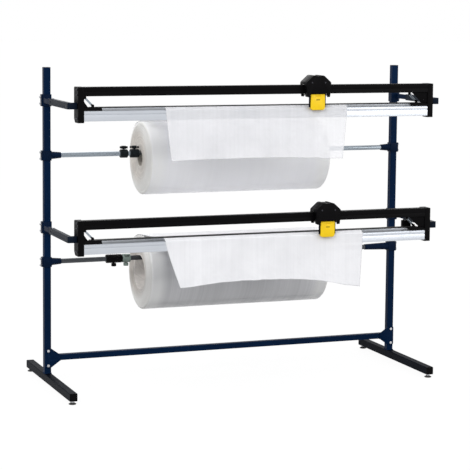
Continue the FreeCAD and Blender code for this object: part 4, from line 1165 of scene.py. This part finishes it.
def make_hood_details(tier):
    """Grip ribs and screws of a cutter hood, and a thin black block on its yellow holder that is painted
    shade for the holder's slot.
    """
    low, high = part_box("carriage_hood_" + tier)
    middle = (low.x + high.x) / 2
    top = unit_levels(tier)["rail_top"]
    ahead = (0, -1, 0)
    ribs = [((middle + sign * RIB_ASIDE, low.y - 0.0002, top - 0.010 - RIB_STEP * k), ahead)
            for sign in (-1.0, 1.0) for k in range(6)]
    set_ribs("hood_ribs_" + tier, ribs, (0.014, 0.0016, 0.0022), "carriage_" + tier)
    holder_low, holder_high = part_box("blade_holder_" + tier)
    # a thin black block on the holder's face is painted shade for its slot
    slot = ((holder_low.x + holder_high.x) / 2, holder_low.y, holder_low.z + SLOT_HEIGHT)
    set_ribs("holder_slot_shade_" + tier, [(slot, ahead)], (0.020, 0.0008, 0.0036), "cutter_" + tier)
    heads = [((middle + sign * SCREW_ASIDE, y, top + 0.012), (0, way, 0))
             for y, way in ((low.y, -1.0), (high.y, 1.0)) for sign in (-1.0, 1.0)]
    set_heads("hood_screws_" + tier, "hood_screw", heads, "carriage_" + tier)


def make_clamp_lips(tier):
    """The soft black lip under the front edge of the film clamp."""
    low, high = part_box("clamp_bar_" + tier)
    bottom = unit_levels(tier)["bar_top"] + 0.0012
    rows = 260
    verts, faces = [], []
    profile = [(-0.0012, 0.0002), (-0.0022, 0.0010), (-0.0022, 0.0032), (-0.0010, 0.0040),
               (0.0006, 0.0040), (0.0006, 0.0002)]
    for k in range(rows + 1):
        x = low.x + 0.002 + (high.x - low.x - 0.004) * k / rows
        for dy, dz in profile:
            ripple = 0.00015 * noise.noise(Vector((x * 90, dz * 400, 1.0)))
            verts.append((x, low.y + dy + ripple, bottom + dz))
    sides = len(profile)
    for k in range(rows):
        join_rings(faces, range(k * sides, (k + 1) * sides), range((k + 1) * sides, (k + 2) * sides))
    faces.append(tuple(range(sides)))
    faces.append(tuple(range(rows * sides + sides - 1, rows * sides - 1, -1)))
    lip = piece_from("clamp_lip_" + tier, verts, faces, "pad_rubber", "clamp_bar_" + tier)
    face_outwards(lip)


# ---------------------------------------------------------------- stage

def seen_directly(tree):
    """1 for camera rays and for what gloss and glass show, 0 for the light on the object."""
    paths = tree.nodes.new("ShaderNodeLightPath").outputs
    return maths(tree, "MAXIMUM", paths["Is Camera Ray"],
                 maths(tree, "MAXIMUM", paths["Is Glossy Ray"], paths["Is Transmission Ray"]))


def make_floor():
    mesh = bpy.data.meshes.new("studio_floor")
    mesh.from_pydata([(x * FLOOR_REACH, y * FLOOR_REACH, 0) for x, y in ((-1, -1), (1, -1), (1, 1), (-1, 1))],
                     [], [(0, 1, 2, 3)])
    floor = bpy.data.objects.new("studio_floor", mesh)
    bpy.context.scene.collection.objects.link(floor)
    material = bpy.data.materials.new("Pale Studio Floor")
    material.use_nodes = True
    tree = material.node_tree
    tree.nodes.clear()
    seen = seen_directly(tree)
    matt = add(tree, "ShaderNodeBsdfDiffuse", None, {0: (0.28, 0.28, 0.28, 1)})
    glow = add(tree, "ShaderNodeEmission", None, {0: (1, 1, 1, 1), 1: 1.18})
    mixed = add(tree, "ShaderNodeMixShader", None,
                {0: maths(tree, "MULTIPLY", seen, 0.80), 1: matt.outputs[0], 2: glow.outputs[0]})
    out = tree.nodes.new("ShaderNodeOutputMaterial")
    tree.links.new(mixed.outputs[0], out.inputs[0])
    mesh.materials.append(material)


def make_world():
    world = bpy.data.worlds.new("Pale Studio")
    bpy.context.scene.world = world
    world.use_nodes = True
    tree = world.node_tree
    tree.nodes.clear()
    seen = seen_directly(tree)
    light = add(tree, "ShaderNodeBackground", None, {0: (0.98, 0.985, 1.0, 1), 1: 1.10})
    white = add(tree, "ShaderNodeBackground", None, {0: (1, 1, 1, 1), 1: 1.0})
    mixed = add(tree, "ShaderNodeMixShader", None, {0: seen, 1: light.outputs[0], 2: white.outputs[0]})
    out = tree.nodes.new("ShaderNodeOutputWorld")
    tree.links.new(mixed.outputs[0], out.inputs[0])


def make_lamp(name, place, aim, size, power):
    data = bpy.data.lights.new(name, "AREA")
    data.shape = "DISK"
    data.size = size
    data.energy = power
    lamp = bpy.data.objects.new(name, data)
    lamp.location = place
    lamp.rotation_euler = (Vector((0, 0, aim)) - Vector(place)).to_track_quat("-Z", "Y").to_euler()
    bpy.context.scene.collection.objects.link(lamp)


def make_camera():
    yaw, pitch, roll = (math.radians(a) for a in CAMERA_ANGLES)
    ahead = Vector((math.sin(yaw) * math.cos(pitch), math.cos(yaw) * math.cos(pitch), -math.sin(pitch)))
    right = Vector((math.cos(yaw), -math.sin(yaw), 0))
    up = right.cross(ahead)
    right, up = (right * math.cos(roll) + up * math.sin(roll)), (up * math.cos(roll) - right * math.sin(roll))
    data = bpy.data.cameras.new("Photo View")
    data.sensor_width = 36.0
    data.lens = CAMERA_LENS
    data.shift_y = CAMERA_SHIFT
    data.clip_end = 200.0
    camera = bpy.data.objects.new("Photo View", data)
    post_low, post_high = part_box("post_left")
    post_y = (post_low.y + post_high.y) / 2
    matrix = Matrix((right, up, -ahead)).transposed().to_4x4()
    matrix.translation = Vector((CAMERA_PLACE[0], post_y + CAMERA_PLACE[1], CAMERA_PLACE[2]))
    camera.matrix_world = matrix
    bpy.context.scene.collection.objects.link(camera)
    bpy.context.scene.camera = camera


# ---------------------------------------------------------------- operators

NODE_FINISH = {
    "post_left": "post_paint", "post_right": "post_paint", "post_caps": "clamp_paint",
    "foot_left": "foot_paint", "foot_right": "foot_paint", "foot_end_caps": "black_plastic",
    "crossbar": "post_paint", "gusset_plates": "post_paint", "frame_bolts": "zinc_screw",
    "clamp_bolts": "zinc_screw", "unit_screws": "zinc_screw", "axle_upper": "bright_steel",
    # axle_lower's darker steel is painted shade for the bar's shadow
    "axle_lower": "dull_steel", "roll_core_lower": "core_board_wide",
}


def node_finishes():
    """Each node's material slot, and the finish it gets: its own where it has one, else its slot's."""
    slots = {item["node"]: item["material_slot"] for item in frame["record"]["subparts"]}
    return slots, {node: NODE_FINISH.get(node, slots[node]) for node in frame["nodes"]}


def edge_times():
    """How many times the common rounding the edges of the machined and cast nodes get."""
    times = {"arm_clamps": 1.0, "axle_sockets": 1.0, "gusset_plates": 0.6, "bar_end_blocks": 0.8}
    for tier in TIERS:
        for start, share in (("end_brackets_", 1.2), ("cutting_bar_", 0.35), ("guide_rail_", 0.5),
                             ("carriage_hood_", 1.3), ("blade_holder_", 0.7), ("blade_frame_", 0.4),
                             ("clamp_bar_", 0.4), ("clamp_link_left_", 0.4), ("clamp_link_right_", 0.4)):
            times[start + tier] = share
        for side in ("left", "right"):
            times["arm_" + tier + "_" + side] = 1.0
    return times


class FILMSTAND_OT_finishes(bpy.types.Operator):
    """Make the finishes and give each frame part its own"""
    bl_idname = "filmstand.finishes"
    bl_label = "Finishes"

    def execute(self, context):
        make_finishes(context.scene.stand_colours)
        for name, finish in node_finishes()[1].items():
            if finish in ("sheet_film", "wound_film"):
                finish = "roll_side_" + name.split("_")[-1]
            if name.startswith("collar_lower_inner"):
                finish = "green_collar"
            dress(frame["nodes"][name], finish)
        return {"FINISHED"}


class FILMSTAND_OT_soft_edges(bpy.types.Operator):
    """Round the sharp edges of rails, brackets, bars, clamps and cutters"""
    bl_idname = "filmstand.soft_edges"
    bl_label = "Rounded Edges"

    def execute(self, context):
        slots, finishes = node_finishes()
        for node, times in edge_times().items():
            soften_node(node, finishes[node], context.scene.stand_sizes.edge_round * times)
        return {"FINISHED"}


class FILMSTAND_OT_rolls(bpy.types.Operator):
    """Wind the two film rolls"""
    bl_idname = "filmstand.rolls"
    bl_label = "Film Rolls"

    def execute(self, context):
        rim = context.scene.stand_sizes.roll_rim
        for tier in TIERS:
            make_roll(tier, rim)
            make_roll_tail(tier, rim)
        return {"FINISHED"}


class FILMSTAND_OT_film(bpy.types.Operator):
    """Hang the film from each roll over its cutting bar"""
    bl_idname = "filmstand.film"
    bl_label = "Hanging Film"

    def execute(self, context):
        for tier in TIERS:
            make_film(tier, context.scene.stand_sizes)
        return {"FINISHED"}


class FILMSTAND_OT_fasteners(bpy.types.Operator):
    """Set the screws, bolt faces and washers"""
    bl_idname = "filmstand.fasteners"
    bl_label = "Fasteners"

    def execute(self, context):
        make_unit_screws()
        make_clamp_nuts()
        return {"FINISHED"}


class FILMSTAND_OT_levelling_feet(bpy.types.Operator):
    """Make the rubber pads with their threaded stems"""
    bl_idname = "filmstand.levelling_feet"
    bl_label = "Levelling Feet"

    def execute(self, context):
        for side in ("left", "right"):
            for place in ("front", "rear"):
                make_pad("levelling_foot_" + place + "_" + side)
        make_threads(context.scene.stand_sizes)
        return {"FINISHED"}


class FILMSTAND_OT_welds(bpy.types.Operator):
    """Run the weld beads round the posts and along the crossbar plates"""
    bl_idname = "filmstand.welds"
    bl_label = "Weld Beads"

    def execute(self, context):
        make_welds(context.scene.stand_sizes)
        return {"FINISHED"}


class FILMSTAND_OT_cutter_details(bpy.types.Operator):
    """Add the ribs and screws of the cutter hoods, the clamp lips and the thumbscrew ribs"""
    bl_idname = "filmstand.cutter_details"
    bl_label = "Cutter and Clamp Details"

    def execute(self, context):
        for tier in TIERS:
            make_hood_details(tier)
            make_clamp_lips(tier)
        make_thumb_ribs(context.scene.stand_sizes)
        return {"FINISHED"}


class FILMSTAND_OT_stage(bpy.types.Operator):
    """Set up the pale floor, the soft lamps and the camera"""
    bl_idname = "filmstand.stage"
    bl_label = "Stage"

    def execute(self, context):
        context.scene.view_settings.view_transform = "Standard"
        make_floor()
        make_world()
        for lamp in LAMPS:
            make_lamp(*lamp)
        make_camera()
        return {"FINISHED"}


class FILMSTAND_PT_panel(bpy.types.Panel):
    """The stand's steps and settings"""
    bl_idname = "FILMSTAND_PT_panel"
    bl_label = "Film Cutter Stand"
    bl_space_type = "VIEW_3D"
    bl_region_type = "UI"
    bl_category = "Film Stand"

    def draw(self, context):
        layout = self.layout
        for step in STEPS:
            layout.operator(step.bl_idname)
        for settings in (context.scene.stand_sizes, context.scene.stand_colours):
            box = layout.box()
            for name in settings.__annotations__:
                box.prop(settings, name)


STEPS = (FILMSTAND_OT_finishes, FILMSTAND_OT_stage, FILMSTAND_OT_soft_edges, FILMSTAND_OT_rolls,
         FILMSTAND_OT_film, FILMSTAND_OT_fasteners, FILMSTAND_OT_levelling_feet, FILMSTAND_OT_welds,
         FILMSTAND_OT_cutter_details)
CLASSES = (StandColours, StandSizes) + STEPS + (FILMSTAND_PT_panel,)


def register():
    for entry in CLASSES:
        bpy.utils.register_class(entry)
    bpy.types.Scene.stand_colours = bpy.props.PointerProperty(type=StandColours)
    bpy.types.Scene.stand_sizes = bpy.props.PointerProperty(type=StandSizes)


def unregister():
    del bpy.types.Scene.stand_sizes
    del bpy.types.Scene.stand_colours
    for entry in reversed(CLASSES):
        bpy.utils.unregister_class(entry)


def main():
    register()
    for step in STEPS:
        group, name = step.bl_idname.split(".")
        result = getattr(getattr(bpy.ops, group), name)()
        if "FINISHED" not in result:
            raise RuntimeError(step.bl_label + " did not finish")


if __name__ == "__main__":
    main()
